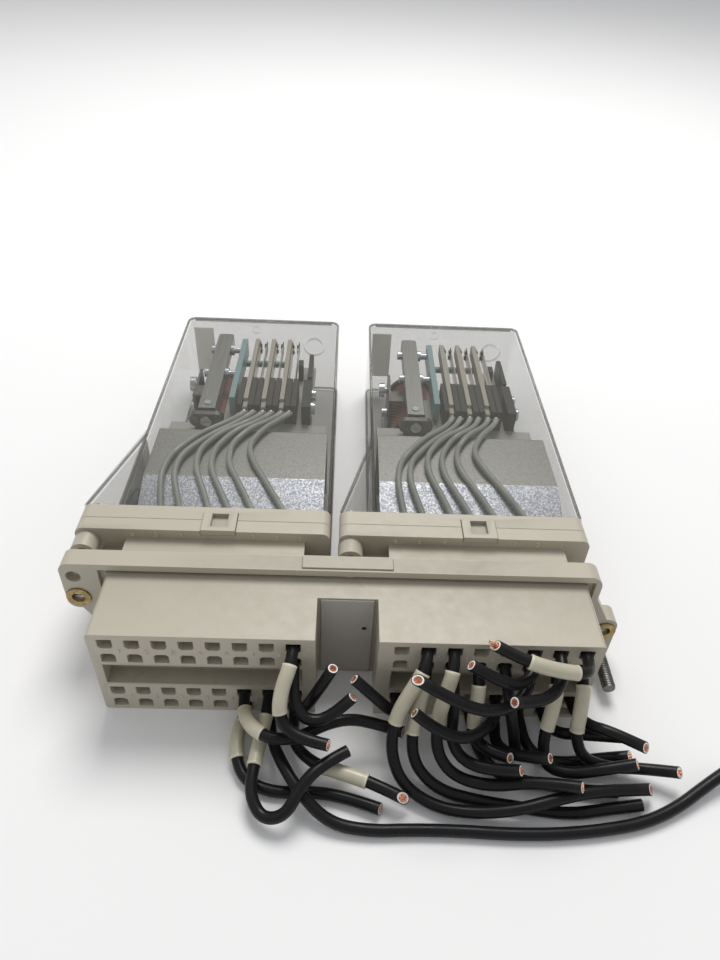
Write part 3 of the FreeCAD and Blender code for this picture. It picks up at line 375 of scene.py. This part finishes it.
def finish_frame():
    """Every carried-over CAD node gets the material of its slot, or its special one."""
    for subpart in frame["record"]["subparts"]:
        node = frame["nodes"][subpart["node"]]
        node.data.materials.clear()
        finish = subpart["material_slot"]
        for ending, special in SPECIAL_FINISH.items():
            if subpart["node"].endswith(ending):
                finish = special
        node.data.materials.append(FINISH[finish])


# ---- mesh helpers -------------------------------------------------------------------------------

def piece(name, mesh, body, slot, *finishes, smooth=False):
    """A named mesh that rides on a body and wears the finishes given; its slot is not used."""
    thing = bpy.data.objects.new(name, mesh)
    scene.collection.objects.link(thing)
    for finish in finishes:
        mesh.materials.append(FINISH[finish])
    for face in mesh.polygons:
        face.use_smooth = smooth
    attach(thing, body)
    return thing


def from_bmesh(name, build):
    shape = bmesh.new()
    build(shape)
    bmesh.ops.recalc_face_normals(shape, faces=shape.faces)
    mesh = bpy.data.meshes.new(name)
    shape.to_mesh(mesh)
    shape.free()
    return mesh


def curve_points(thing):
    """The points along a curve that has no thickness yet."""
    mesh = bpy.data.meshes.new_from_object(thing.evaluated_get(bpy.context.evaluated_depsgraph_get()))
    points = [vertex.co.copy() for vertex in mesh.vertices]
    bpy.data.meshes.remove(mesh)
    return points


def turns_of(count):
    return [2 * math.pi * step / count for step in range(count)]


def ring(shape, middle, side, across, radius, count):
    """Vertices spread evenly on a circle."""
    return [shape.verts.new(middle + radius * (math.cos(turn) * side + math.sin(turn) * across))
            for turn in turns_of(count)]


def skin(shape, rings, material=0):
    """Walls between each closed ring and the next."""
    for near, far in zip(rings, rings[1:]):
        for step in range(len(near)):
            nxt = (step + 1) % len(near)
            wall = shape.faces.new((near[step], near[nxt], far[nxt], far[step]))
            wall.material_index = material


def cap(shape, first, last, material=0):
    """Flat faces over the two open ends of a run of rings."""
    shape.faces.new(first[::-1]).material_index = material
    shape.faces.new(last).material_index = material


def heading(path, index):
    """The direction of a line of points at one of them."""
    return (path[min(index + 1, len(path) - 1)] - path[max(index - 1, 0)]).normalized()


def prism(shape, low, high, bevel):
    """A block between two corners, with softened edges."""
    made = bmesh.ops.create_cube(shape, size=1.0)
    middle = (Vector(low) + Vector(high)) / 2
    span = Vector(high) - Vector(low)
    for vertex in made["verts"]:
        vertex.co = middle + Vector(part * side for part, side in zip(vertex.co, span))
    edges = {edge for vertex in made["verts"] for edge in vertex.link_edges}
    bmesh.ops.bevel(shape, geom=list(edges), offset=bevel, segments=2, affect="EDGES")


def tube_mesh(name, path, outer, inner, segments=20):
    """A closed tube with a wall, a little flared at its ends, around a line of points."""
    flare_share = 0.04

    def build(shape):
        side = Vector((0.13, 0.31, 0.94))
        loops = []
        for index, spot in enumerate(path):
            ahead = heading(path, index)
            side = (side - ahead * side.dot(ahead)).normalized()
            across = ahead.cross(side)
            flare = 1.0 + flare_share * math.exp(-min(index, len(path) - 1 - index))
            loops.append([ring(shape, spot, side, across, radius, segments)
                          for radius in (outer * flare, inner)])
        for before, after in zip(loops, loops[1:]):
            for walls in zip(before, after):
                skin(shape, walls)
        for ends in (loops[0], loops[-1]):
            skin(shape, ends)
    return from_bmesh(name, build)


def rod_mesh(name, path, wide, tall, sides=12):
    """A closed bar of rounded section along a level line of points."""
    def build(shape):
        rings = []
        for index, spot in enumerate(path):
            across = Vector((0, 0, 1)).cross(heading(path, index))
            rings.append([shape.verts.new(spot + across * wide / 2 * math.cos(turn)
                                          + Vector((0, 0, tall / 2 * math.sin(turn))))
                          for turn in turns_of(sides)])
        skin(shape, rings)
        cap(shape, rings[0], rings[-1])
    return from_bmesh(name, build)


# ---- cut field leads ----------------------------------------------------------------------------

LEAD = 3.6 * MM
CORE_WHITE, CORE_COPPER, STRAND = 1.52 * MM, 1.12 * MM, 0.235 * MM
CUT_SIDES, STRAND_SIDES = 28, 8
SHEATH_FACE, WHITE_FACE, COPPER_FACE = 0, 1, 2
SLEEVE_OUTER, SLEEVE_INNER = LEAD / 2 + 0.45 * MM, LEAD / 2 + 0.03 * MM

# The leads of each CAD node. A route is x, depth and height, from the crimp to the cut end.
LEADS = {
    "leads_left_upper": {
        "top": [(-0.0163, 0.005, 0.0336), (-0.0163, -0.004, 0.0336), (-0.0194, -0.011, 0.028),
            (-0.0198, -0.0156, 0.0208), (-0.0146, -0.02, 0.018), (-0.006, -0.0216, 0.0174)],
        "riser": [(-0.0163, 0.005, 0.00995), (-0.0163, -0.004, 0.00995), (-0.0132, -0.0086, 0.014),
            (-0.0098, -0.0078, 0.0206), (-0.005, -0.0038, 0.0276)],
        "perch": [(-0.0163, 0.005, 0.0269), (-0.0163, -0.004, 0.0269), (-0.0156, -0.011, 0.0226),
            (-0.012, -0.0154, 0.0194), (-0.005, -0.0144, 0.0192), (0.001, -0.01, 0.0226)],
    },
    "leads_left_lower": {
        "sweep": [(-0.0324, 0.005, 0.0036), (-0.0324, -0.004, 0.0036), (-0.034, -0.0145, 0.0044),
            (-0.031, -0.0245, 0.0024), (-0.0215, -0.0286, 0.0019), (-0.0105, -0.028, 0.0019),
            (0, -0.0294, 0.0022), (0.01, -0.033, 0.0026)],
        "arch": [(-0.0324, 0.005, 0.00995), (-0.0324, -0.004, 0.00995), (-0.0298, -0.0125, 0.0124),
            (-0.0226, -0.0182, 0.0136), (-0.014, -0.0176, 0.0136), (-0.0064, -0.0134, 0.0146),
            (0.0014, -0.011, 0.0142), (0.009, -0.0114, 0.0126), (0.0165, -0.0126, 0.0106)],
        "loop": [(-0.0244, 0.005, 0.00995), (-0.0244, -0.004, 0.00995), (-0.0256, -0.013, 0.008),
            (-0.027, -0.0226, 0.0074), (-0.0276, -0.031, 0.006), (-0.0234, -0.0376, 0.004),
            (-0.0164, -0.0376, 0.0064), (-0.0124, -0.031, 0.0114), (-0.0066, -0.025, 0.0124),
            (0.0002, -0.0206, 0.0116)],
        "cuff": [(-0.0163, 0.005, 0.0036), (-0.0163, -0.004, 0.0036), (-0.0162, -0.014, 0.005),
            (-0.0098, -0.0216, 0.0066), (0, -0.0248, 0.007), (0.008, -0.0274, 0.0068),
            (0.015, -0.0306, 0.0064)],
    },
    "leads_left_long": {
        "long": [(-0.0244, 0.005, 0.0036), (-0.0244, -0.004, 0.0036), (-0.0224, -0.014, 0.005),
            (-0.0188, -0.0225, 0.0082), (-0.013, -0.031, 0.0072), (-0.0045, -0.0376, 0.0028),
            (0.007, -0.0394, 0.0019), (0.02, -0.0388, 0.0019), (0.034, -0.0389, 0.0019),
            (0.048, -0.0396, 0.0019), (0.062, -0.0394, 0.0019), (0.076, -0.038, 0.0019),
            (0.089, -0.0356, 0.0019), (0.1, -0.031, 0.0022), (0.11, -0.025, 0.0036),
            (0.118, -0.0206, 0.005)],
    },
    "leads_right_sleeved": {
        "first": [(0.0244, 0.005, 0.0336), (0.0244, -0.004, 0.0336), (0.0192, -0.0094, 0.027),
            (0.015, -0.013, 0.019), (0.0136, -0.019, 0.011), (0.017, -0.0265, 0.0048),
            (0.0265, -0.0324, 0.0028), (0.038, -0.0344, 0.0034), (0.05, -0.0346, 0.006),
            (0.062, -0.032, 0.0076), (0.075, -0.0288, 0.0074), (0.09, -0.0274, 0.0056)],
        "second": [(0.0244, 0.005, 0.0269), (0.0244, -0.004, 0.0269), (0.0218, -0.0106, 0.0196),
            (0.02, -0.016, 0.012), (0.0214, -0.022, 0.0064), (0.0285, -0.0276, 0.0032),
            (0.04, -0.03, 0.0021), (0.053, -0.0318, 0.0019), (0.067, -0.0336, 0.0019),
            (0.079, -0.0318, 0.0022), (0.0884, -0.0308, 0.0028)],
        "third": [(0.0324, 0.005, 0.0336), (0.0324, -0.004, 0.0336), (0.0294, -0.01, 0.026),
            (0.0274, -0.014, 0.018), (0.0276, -0.02, 0.0106), (0.033, -0.0252, 0.0066),
            (0.044, -0.028, 0.0068), (0.0565, -0.0276, 0.0098), (0.068, -0.0304, 0.0122)],
    },
    "leads_right_inner": {
        "flat": [(0.0163, 0.005, 0.00995), (0.0163, -0.004, 0.00995), (0.0144, -0.0086, 0.0144),
            (0.01, -0.0084, 0.02), (0.0026, -0.0054, 0.026)],
        "drop": [(0.0324, 0.005, 0.0269), (0.0324, -0.004, 0.0269), (0.0328, -0.0104, 0.019),
            (0.032, -0.016, 0.012), (0.035, -0.022, 0.0108), (0.0425, -0.0252, 0.011),
            (0.0506, -0.0264, 0.0134)],
        "hook": [(0.0404, 0.005, 0.0269), (0.0404, -0.004, 0.0269), (0.04, -0.0082, 0.0196),
            (0.0392, -0.0118, 0.0126), (0.0414, -0.0174, 0.0092), (0.0484, -0.021, 0.0114)],
        "reach": [(0.0485, 0.005, 0.00995), (0.0485, -0.004, 0.00995), (0.0444, -0.0124, 0.0144),
            (0.0364, -0.0196, 0.018), (0.0274, -0.0196, 0.0214), (0.0206, -0.016, 0.025)],
        "stub": [(0.0485, 0.005, 0.0269), (0.0485, -0.004, 0.0269), (0.0502, -0.0094, 0.019),
            (0.0518, -0.013, 0.012), (0.053, -0.016, 0.005)],
        "deep": [(0.0404, 0.005, 0.0036), (0.0404, -0.004, 0.0036), (0.0416, -0.0134, 0.003),
            (0.0464, -0.0212, 0.002), (0.055, -0.0236, 0.0019), (0.064, -0.0248, 0.0019),
            (0.073, -0.0264, 0.002), (0.082, -0.0266, 0.0024)],
    },
    "leads_right_upper": {
        "bow": [(0.0565, 0.005, 0.0269), (0.0565, -0.004, 0.0269), (0.051, -0.0126, 0.0262),
            (0.042, -0.017, 0.0284), (0.0324, -0.0166, 0.0316), (0.0222, -0.0126, 0.0354)],
        "crook": [(0.0565, 0.005, 0.0336), (0.0565, -0.004, 0.0336), (0.0524, -0.01, 0.0328),
            (0.0456, -0.0114, 0.0342), (0.037, -0.0076, 0.037)],
        "nod": [(0.0645, 0.005, 0.0336), (0.0645, -0.004, 0.0336), (0.0626, -0.0108, 0.032),
            (0.0558, -0.0154, 0.0316), (0.0486, -0.0168, 0.0336)],
        "bare": [(0.0726, 0.005, 0.0336), (0.0726, -0.004, 0.0336), (0.0696, -0.009, 0.0368),
            (0.061, -0.0094, 0.0386), (0.052, -0.0076, 0.04), (0.0445, -0.004, 0.0414)],
    },
    "leads_right_outer": {
        "fall": [(0.0645, 0.005, 0.0269), (0.0645, -0.004, 0.0269), (0.0628, -0.0104, 0.019),
            (0.0606, -0.015, 0.0114), (0.061, -0.0206, 0.006), (0.068, -0.0232, 0.006),
            (0.077, -0.0234, 0.0092), (0.0864, -0.023, 0.0118)],
        "edge": [(0.0726, 0.005, 0.0269), (0.0726, -0.004, 0.0269), (0.0716, -0.01, 0.0194),
            (0.0706, -0.0144, 0.012), (0.0734, -0.0186, 0.0066), (0.082, -0.0196, 0.0038),
            (0.092, -0.02, 0.0044), (0.1004, -0.0224, 0.007)],
        "rise": [(0.0485, 0.005, 0.0036), (0.0485, -0.004, 0.0036), (0.047, -0.013, 0.005),
            (0.051, -0.0198, 0.0094), (0.06, -0.0226, 0.014)],
        "tail": [(0.0726, 0.005, 0.00995), (0.0726, -0.004, 0.00995), (0.0756, -0.0106, 0.0124),
            (0.081, -0.014, 0.015), (0.089, -0.018, 0.0144)],
        "low": [(0.0565, 0.005, 0.0036), (0.0565, -0.004, 0.0036), (0.0574, -0.012, 0.0026),
            (0.0624, -0.0168, 0.0019), (0.071, -0.0172, 0.0019), (0.08, -0.0156, 0.002),
            (0.088, -0.0156, 0.0034)],
        "back": [(0.0645, 0.005, 0.0036), (0.0645, -0.004, 0.0036), (0.0674, -0.0096, 0.006),
            (0.0745, -0.0106, 0.0072), (0.085, -0.0124, 0.0092)],
    },
}

# Where a marker sleeve starts and ends, as shares of its lead.
SLEEVES = {
    "top": (0.24, 0.60), "loop": (0.16, 0.38), "cuff": (0.56, 0.84), "first": (0.09, 0.24),
    "second": (0.10, 0.25), "third": (0.13, 0.34), "hook": (0.27, 0.64), "fall": (0.16, 0.40),
    "edge": (0.16, 0.40), "bare": (0.42, 0.80), "sweep": (0.16, 0.34), "arch": (0.17, 0.36),
}

# How steeply each end was cut: 0 is square, 1 is 45 degrees.
SLANTS = {
    "top": 0.3, "riser": 0.5, "sweep": 0.2, "arch": 0.5, "loop": 0.3, "cuff": 1.1, "long": 0.5, "first": 0.9,
    "second": 0.2, "third": 0.3, "flat": 0.05, "drop": 0.3, "hook": 0.4, "reach": 0.2, "stub": 0.1,
    "bow": 1.0, "crook": 0.4, "nod": 0.3, "bare": 0.6, "fall": 0.3, "edge": 0.5, "rise": 0.2, "tail": 0.7,
    "perch": 0.4, "deep": 0.3, "low": 0.6, "back": 0.3,
}


def stretch_of(points, low, high):
    """The part of a line between two shares of its length."""
    reached = [0.0]
    for before, after in zip(points, points[1:]):
        reached.append(reached[-1] + (after - before).length)
    return [spot for spot, run in zip(points, reached) if low <= run / reached[-1] <= high]


def cut_end(name, tip, ahead, slant):
    """The cut face of a lead: black sheath, white inner layer and copper strands."""
    facing = Vector((0.0, -0.5, 1.0))
    lean = (facing - ahead * facing.dot(ahead)).normalized()
    across = ahead.cross(lean)
    start, reach, chamfer = -0.5 * MM, 0.5 * MM + slant * LEAD / 2, 0.08 * MM

    def spot(radius, turn, along):
        return tip + radius * (math.cos(turn) * lean + math.sin(turn) * across) + ahead * along

    def on_cut(radius, turn, proud=0.0):
        return spot(radius, turn, reach + proud - slant * radius * math.cos(turn))

    def build(shape):
        turns = turns_of(CUT_SIDES)
        levels = [[shape.verts.new(spot(LEAD / 2, turn, start)) for turn in turns]]
        levels += [[shape.verts.new(on_cut(radius, turn, proud)) for turn in turns] for radius, proud in (
            (LEAD / 2, -chamfer), (LEAD / 2 - chamfer, 0.0), (CORE_WHITE, 0.0),
            (CORE_COPPER, 0.05 * MM), (CORE_COPPER, -0.35 * MM))]
        skin(shape, levels[:4], SHEATH_FACE)
        skin(shape, levels[3:], WHITE_FACE)
        shape.faces.new(levels[-1]).material_index = COPPER_FACE
        shape.faces.new(levels[0][::-1]).material_index = SHEATH_FACE
        strands = [(0.0, 0.0)]
        strands += [(0.47 * MM, math.pi / 3 * step) for step in range(6)]
        strands += [(0.88 * MM, math.pi / 6 * step + 0.2) for step in range(12)]
        for count, (radius, turn) in enumerate(strands):
            proud = (0.10 + 0.16 * math.sin(2.4 * count + 9 * slant)) * MM
            bottom, top = spot(radius, turn, -0.4 * MM), on_cut(radius, turn, proud)
            rings = [ring(shape, middle, lean, across, STRAND, STRAND_SIDES) for middle in (bottom, top)]
            skin(shape, rings, COPPER_FACE)
            cap(shape, *rings, COPPER_FACE)
    mesh = from_bmesh(name, build)
    return piece(name, mesh, "base", "black_sheath", "black_sheath", "core_white", "copper")


def frayed_end(name, tip, ahead):
    """Loose copper strands that stick out of a stripped end, over the torn inner layer."""
    reach, loose, thin, steps = 4.6 * MM, 11, 0.17 * MM, 8
    lean = (Vector((0, 0, 1)) - ahead * ahead.z).normalized()
    across = ahead.cross(lean)

    def strand(shape, count):
        rings = []
        for share in (step / steps for step in range(steps + 1)):
            turn = 2 * math.pi * count / loose + 1.6 * share
            spread = (0.45 + 0.5 * (count % 3) / 2 + 0.3 * share * math.sin(1.7 * count)) * MM
            length = reach * (0.78 + 0.22 * math.sin(2.3 * count))
            spot = tip + ahead * (share * length - 0.5 * MM) + spread * (
                math.cos(turn) * lean + 0.9 * math.sin(turn) * across)
            rings.append(ring(shape, spot, lean, across, thin, 7))
        skin(shape, rings)
        cap(shape, rings[0], rings[-1])

    def torn_layer(shape):
        """An open shell, three levels long, with an outer and an inner side."""
        torn = []
        for radius in (1.55 * MM, 1.25 * MM):
            for along, low, high in ((-0.4 * MM, 1.9, 4.4), (1.6 * MM, 2.2, 4.1), (3.0 * MM, 2.9, 3.6)):
                turns = (low + (high - low) * step / steps for step in range(steps + 1))
                torn.append([shape.verts.new(tip + ahead * along
                                             + radius * (math.cos(turn) * lean + math.sin(turn) * across))
                             for turn in turns])
        for first, second in ((0, 1), (1, 2), (3, 4), (4, 5), (2, 5), (0, 3)):
            for step in range(steps):
                shape.faces.new((torn[first][step], torn[first][step + 1],
                                 torn[second][step + 1], torn[second][step])).material_index = 1
        for end in (0, steps):
            for level in (0, 1):
                shape.faces.new((torn[level][end], torn[level + 1][end],
                                 torn[level + 4][end], torn[level + 3][end])).material_index = 1

    def build(shape):
        for count in range(loose):
            strand(shape, count)
        torn_layer(shape)
    return piece(name, from_bmesh(name, build), "base", "black_sheath", "copper", "core_white", smooth=True)


def lead(name, group, route):
    """One lead on its route, with its cut end and any sleeve."""
    data = bpy.data.curves.new(f"lead_{name}", "CURVE")
    data.dimensions = "3D"
    data.resolution_u = 16
    spline = data.splines.new("NURBS")
    spline.points.add(len(route) - 1)
    for control, place in zip(spline.points, route):
        control.co = (*bench(*place), 1)
    spline.order_u = 3
    spline.use_endpoint_u = True
    thing = bpy.data.objects.new(f"lead_{name}", data)
    scene.collection.objects.link(thing)
    line = curve_points(thing)
    data.bevel_depth = LEAD / 2
    data.bevel_resolution = 6
    data.use_fill_caps = True
    data.materials.append(FINISH["black_sheath"])
    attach(thing, "base")
    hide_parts(group)
    tip, ahead = line[-1], (line[-1] - line[-3]).normalized()
    extras = [cut_end(f"cut_end_{name}", tip, ahead, SLANTS[name])]
    if name == "bare":
        extras.append(frayed_end(f"frayed_end_{name}", tip, ahead))
    if name in SLEEVES:
        mesh = tube_mesh(f"sleeve_{name}", stretch_of(line, *SLEEVES[name]), SLEEVE_OUTER, SLEEVE_INNER)
        cuff = piece(f"sleeve_{name}", mesh, "base", "cream_plastic", "sleeve_cream", smooth=True)
        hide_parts("marker_sleeves")
        extras.append(cuff)


# ---- relay details ------------------------------------------------------------------------------

WALL = 1.5 * MM
COVER_LEFT, COVER_CORNER = 36.5 * MM, 4 * MM
CHAMBER_REACH, CHAMBER_NEAR, CHAMBER_TIP = 47.2 * MM, 54.4 * MM, 96.5 * MM

# Where each inner wire leaves its block, and the next turning point of its run.
WIRE_STARTS = (((-0.6, 122.8), (-5, 111)), ((3.0, 122.8), (-2, 110)), ((7.1, 122.8), (3, 111)),
               ((10.7, 122.8), (6.5, 111)), ((14.9, 122.8), (11, 112)), ((18.4, 122.8), (15, 113)))

HOLE_PITCH = 8.03 * MM
FRONT_NUMERALS = (28, 20, 12, -12, -20.6, -28.6)


def rim_path(left, right, near, far, height, corner):
    """Along one long edge, round the far wall's two corners and back along the other edge."""
    path = [Vector((left, near, height))]
    steps = 6
    for centre_x, first in ((left + corner, math.pi), (right - corner, math.pi / 2)):
        for step in range(steps + 1):
            turn = first - step / steps * math.pi / 2
            path.append(Vector((centre_x + corner * math.cos(turn),
                                far - corner + corner * math.sin(turn), height)))
    path.append(Vector((right, near, height)))
    return path


def cover_edges(side, seat):
    """Dark lines where the cover's clear walls are seen edge-on, top and bottom: painted shade standing in
    for the darkening of a clear wall seen edge-on.
    """
    low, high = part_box(f"{side}_clear_cover")
    inset = WALL / 2
    left, right = seat - COVER_LEFT + inset, high[0] - inset

    # Each piece below is a line of painted shade where a clear wall is seen edge-on.
    def painted_edge_line(part, mesh, smooth=False):
        piece(f"{side}_{part}", mesh, f"{side}_cover", "clear_plastic", "edge_on_painted_shade", smooth=smooth)

    def bar(part, path, wide, tall):
        painted_edge_line(part, rod_mesh(f"{side}_{part}", path, wide, tall), smooth=True)

    def slab(part, x, half, near, far, short, bevel):
        def build(shape):
            prism(shape, (x - half, near, low[2] + 2 * MM), (x + half, far, high[2] - short), bevel)
        painted_edge_line(part, from_bmesh(f"{side}_{part}", build))

    for place, height in (("upper", high[2] - inset), ("lower", low[2] + inset)):
        path = rim_path(left, right, low[1] + MM, high[1] - inset, height, COVER_CORNER - inset)
        bar(f"{place}_rim", path, WALL - 0.3 * MM, WALL - 0.3 * MM)
    band = [Vector((x, high[1] - 2.2 * MM, high[2] - inset)) for x in (left + 3 * MM, right - 3 * MM)]
    bar("far_band", band, 1.6 * MM, 1.1 * MM)
    tip, reach = bench(left, CHAMBER_TIP, 0), bench(seat - CHAMBER_REACH, CHAMBER_NEAR, 0)
    for place, height in (("upper", high[2] - inset), ("lower", low[2] + 0.8 * MM)):
        slope = [Vector((end.x, end.y, height)) for end in (reach, tip)]
        bar(f"chamber_{place}_edge", slope, WALL - 0.4 * MM, WALL - 0.4 * MM)
    for place, x in (("left", left), ("right", right)):
        slab(f"mouth_edge_{place}", x, 0.5 * MM, low[1] + MM, low[1] + 2.2 * MM, 2 * MM, 0.2 * MM)
    slab("chamber_partition", left, 0.35 * MM, low[1] + 2.4 * MM, tip.y - 2 * MM, 1.8 * MM, 0.15 * MM)


def wire_tips(side, seat):
    """The tinned ends of the grey wires, at the black blocks."""
    block_height, run_height = 33.6 * MM, 37.2 * MM
    for count, (near, far) in enumerate(WIRE_STARTS):
        start = bench(seat + near[0] * MM, near[1] * MM, block_height)
        ahead = (bench(seat + far[0] * MM, far[1] * MM, run_height) - start).normalized()
        line = [start + ahead * run * MM for run in (-0.4, 0.4, 1.2, 2.0)]
        name = f"{side}_wire_tip_{count}"
        mesh = tube_mesh(name, line, 1.28 * MM, 1.16 * MM, 16)
        piece(name, mesh, f"{side}_relay", "contact_silver", "contact_silver", smooth=True)


def notch_plate():
    """The grey label plate on the notch's back wall, blank but for its small fixing hole, drawn as a raised
    collar round a black disc of painted shade.
    """
    low, high = bench(-8.8 * MM, 15.9 * MM, 1.5 * MM), bench(8.3 * MM, 16.45 * MM, 37.2 * MM)
    hole_x, hole_z = 5.4 * MM, 24.0 * MM
    rim = ((1.2, 0.0), (1.1, 0.12), (0.85, 0.12), (0.8, 0.03))

    def build(shape):
        prism(shape, low, high, 0.15 * MM)
        rings = [ring(shape, Vector((hole_x, low.y - proud * MM, hole_z)), Vector((1, 0, 0)),
                      Vector((0, 0, 1)), radius * MM, 16) for radius, proud in rim]
        skin(shape, rings)
        # The black disc just proud of the plate is painted shade standing in for the depth of the hole.
        shape.faces.new(rings[-1]).material_index = 1
    mesh = from_bmesh("notch_plate", build)
    piece("notch_plate", mesh, "base", "grey_plastic", "plate_grey", "black_plastic")


def numeral(name, text, place, tall, body):
    """One small raised generic numeral that reads from the wiring side. It is painted paler than the
    moulding, partly for dust and wear and partly as a painted highlight on its raised edges.
    """
    data = bpy.data.curves.new(name, "FONT")
    data.body = text
    data.size = tall
    data.extrude = 0.3 * MM
    data.align_x = data.align_y = "CENTER"
    sign = bpy.data.objects.new(name, data)
    sign.matrix_world = Matrix.Translation(place) @ Matrix.Rotation(math.pi / 2, 4, "X")
    scene.collection.objects.link(sign)
    mesh = bpy.data.meshes.new_from_object(sign.evaluated_get(bpy.context.evaluated_depsgraph_get()))
    mesh.transform(sign.matrix_world)
    bpy.data.objects.remove(sign)
    piece(name, mesh, body, "beige_moulding", "raised_beige_wear_and_painted_highlight")


def row_numerals():
    """Generic column numbers between the wire entries, and contact numbers on each relay's front."""
    for side, seat in SEATS.items():
        for column in range(7):
            x = seat + (column - 3) * HOLE_PITCH
            for row, height in (("upper", 30.3 * MM), ("lower", 6.9 * MM)):
                numeral(f"{side}_{row}_numeral_{column}", str(column + 1),
                        bench(x, -0.02 * MM, height), 2.3 * MM, "base")
        for count, x in enumerate(FRONT_NUMERALS):
            numeral(f"{side}_front_numeral_{count}", str(count + 1),
                    bench(seat + x * MM, 41.48 * MM, 38.9 * MM), 2.6 * MM, f"{side}_relay")


# ---- the scene ----------------------------------------------------------------------------------

aim_camera()
studio()
for group, routes in LEADS.items():
    for name, route in routes.items():
        lead(name, group, route)
finish_frame()
notch_plate()
row_numerals()
for side, seat in SEATS.items():
    cover_edges(side, seat)
    wire_tips(side, seat)
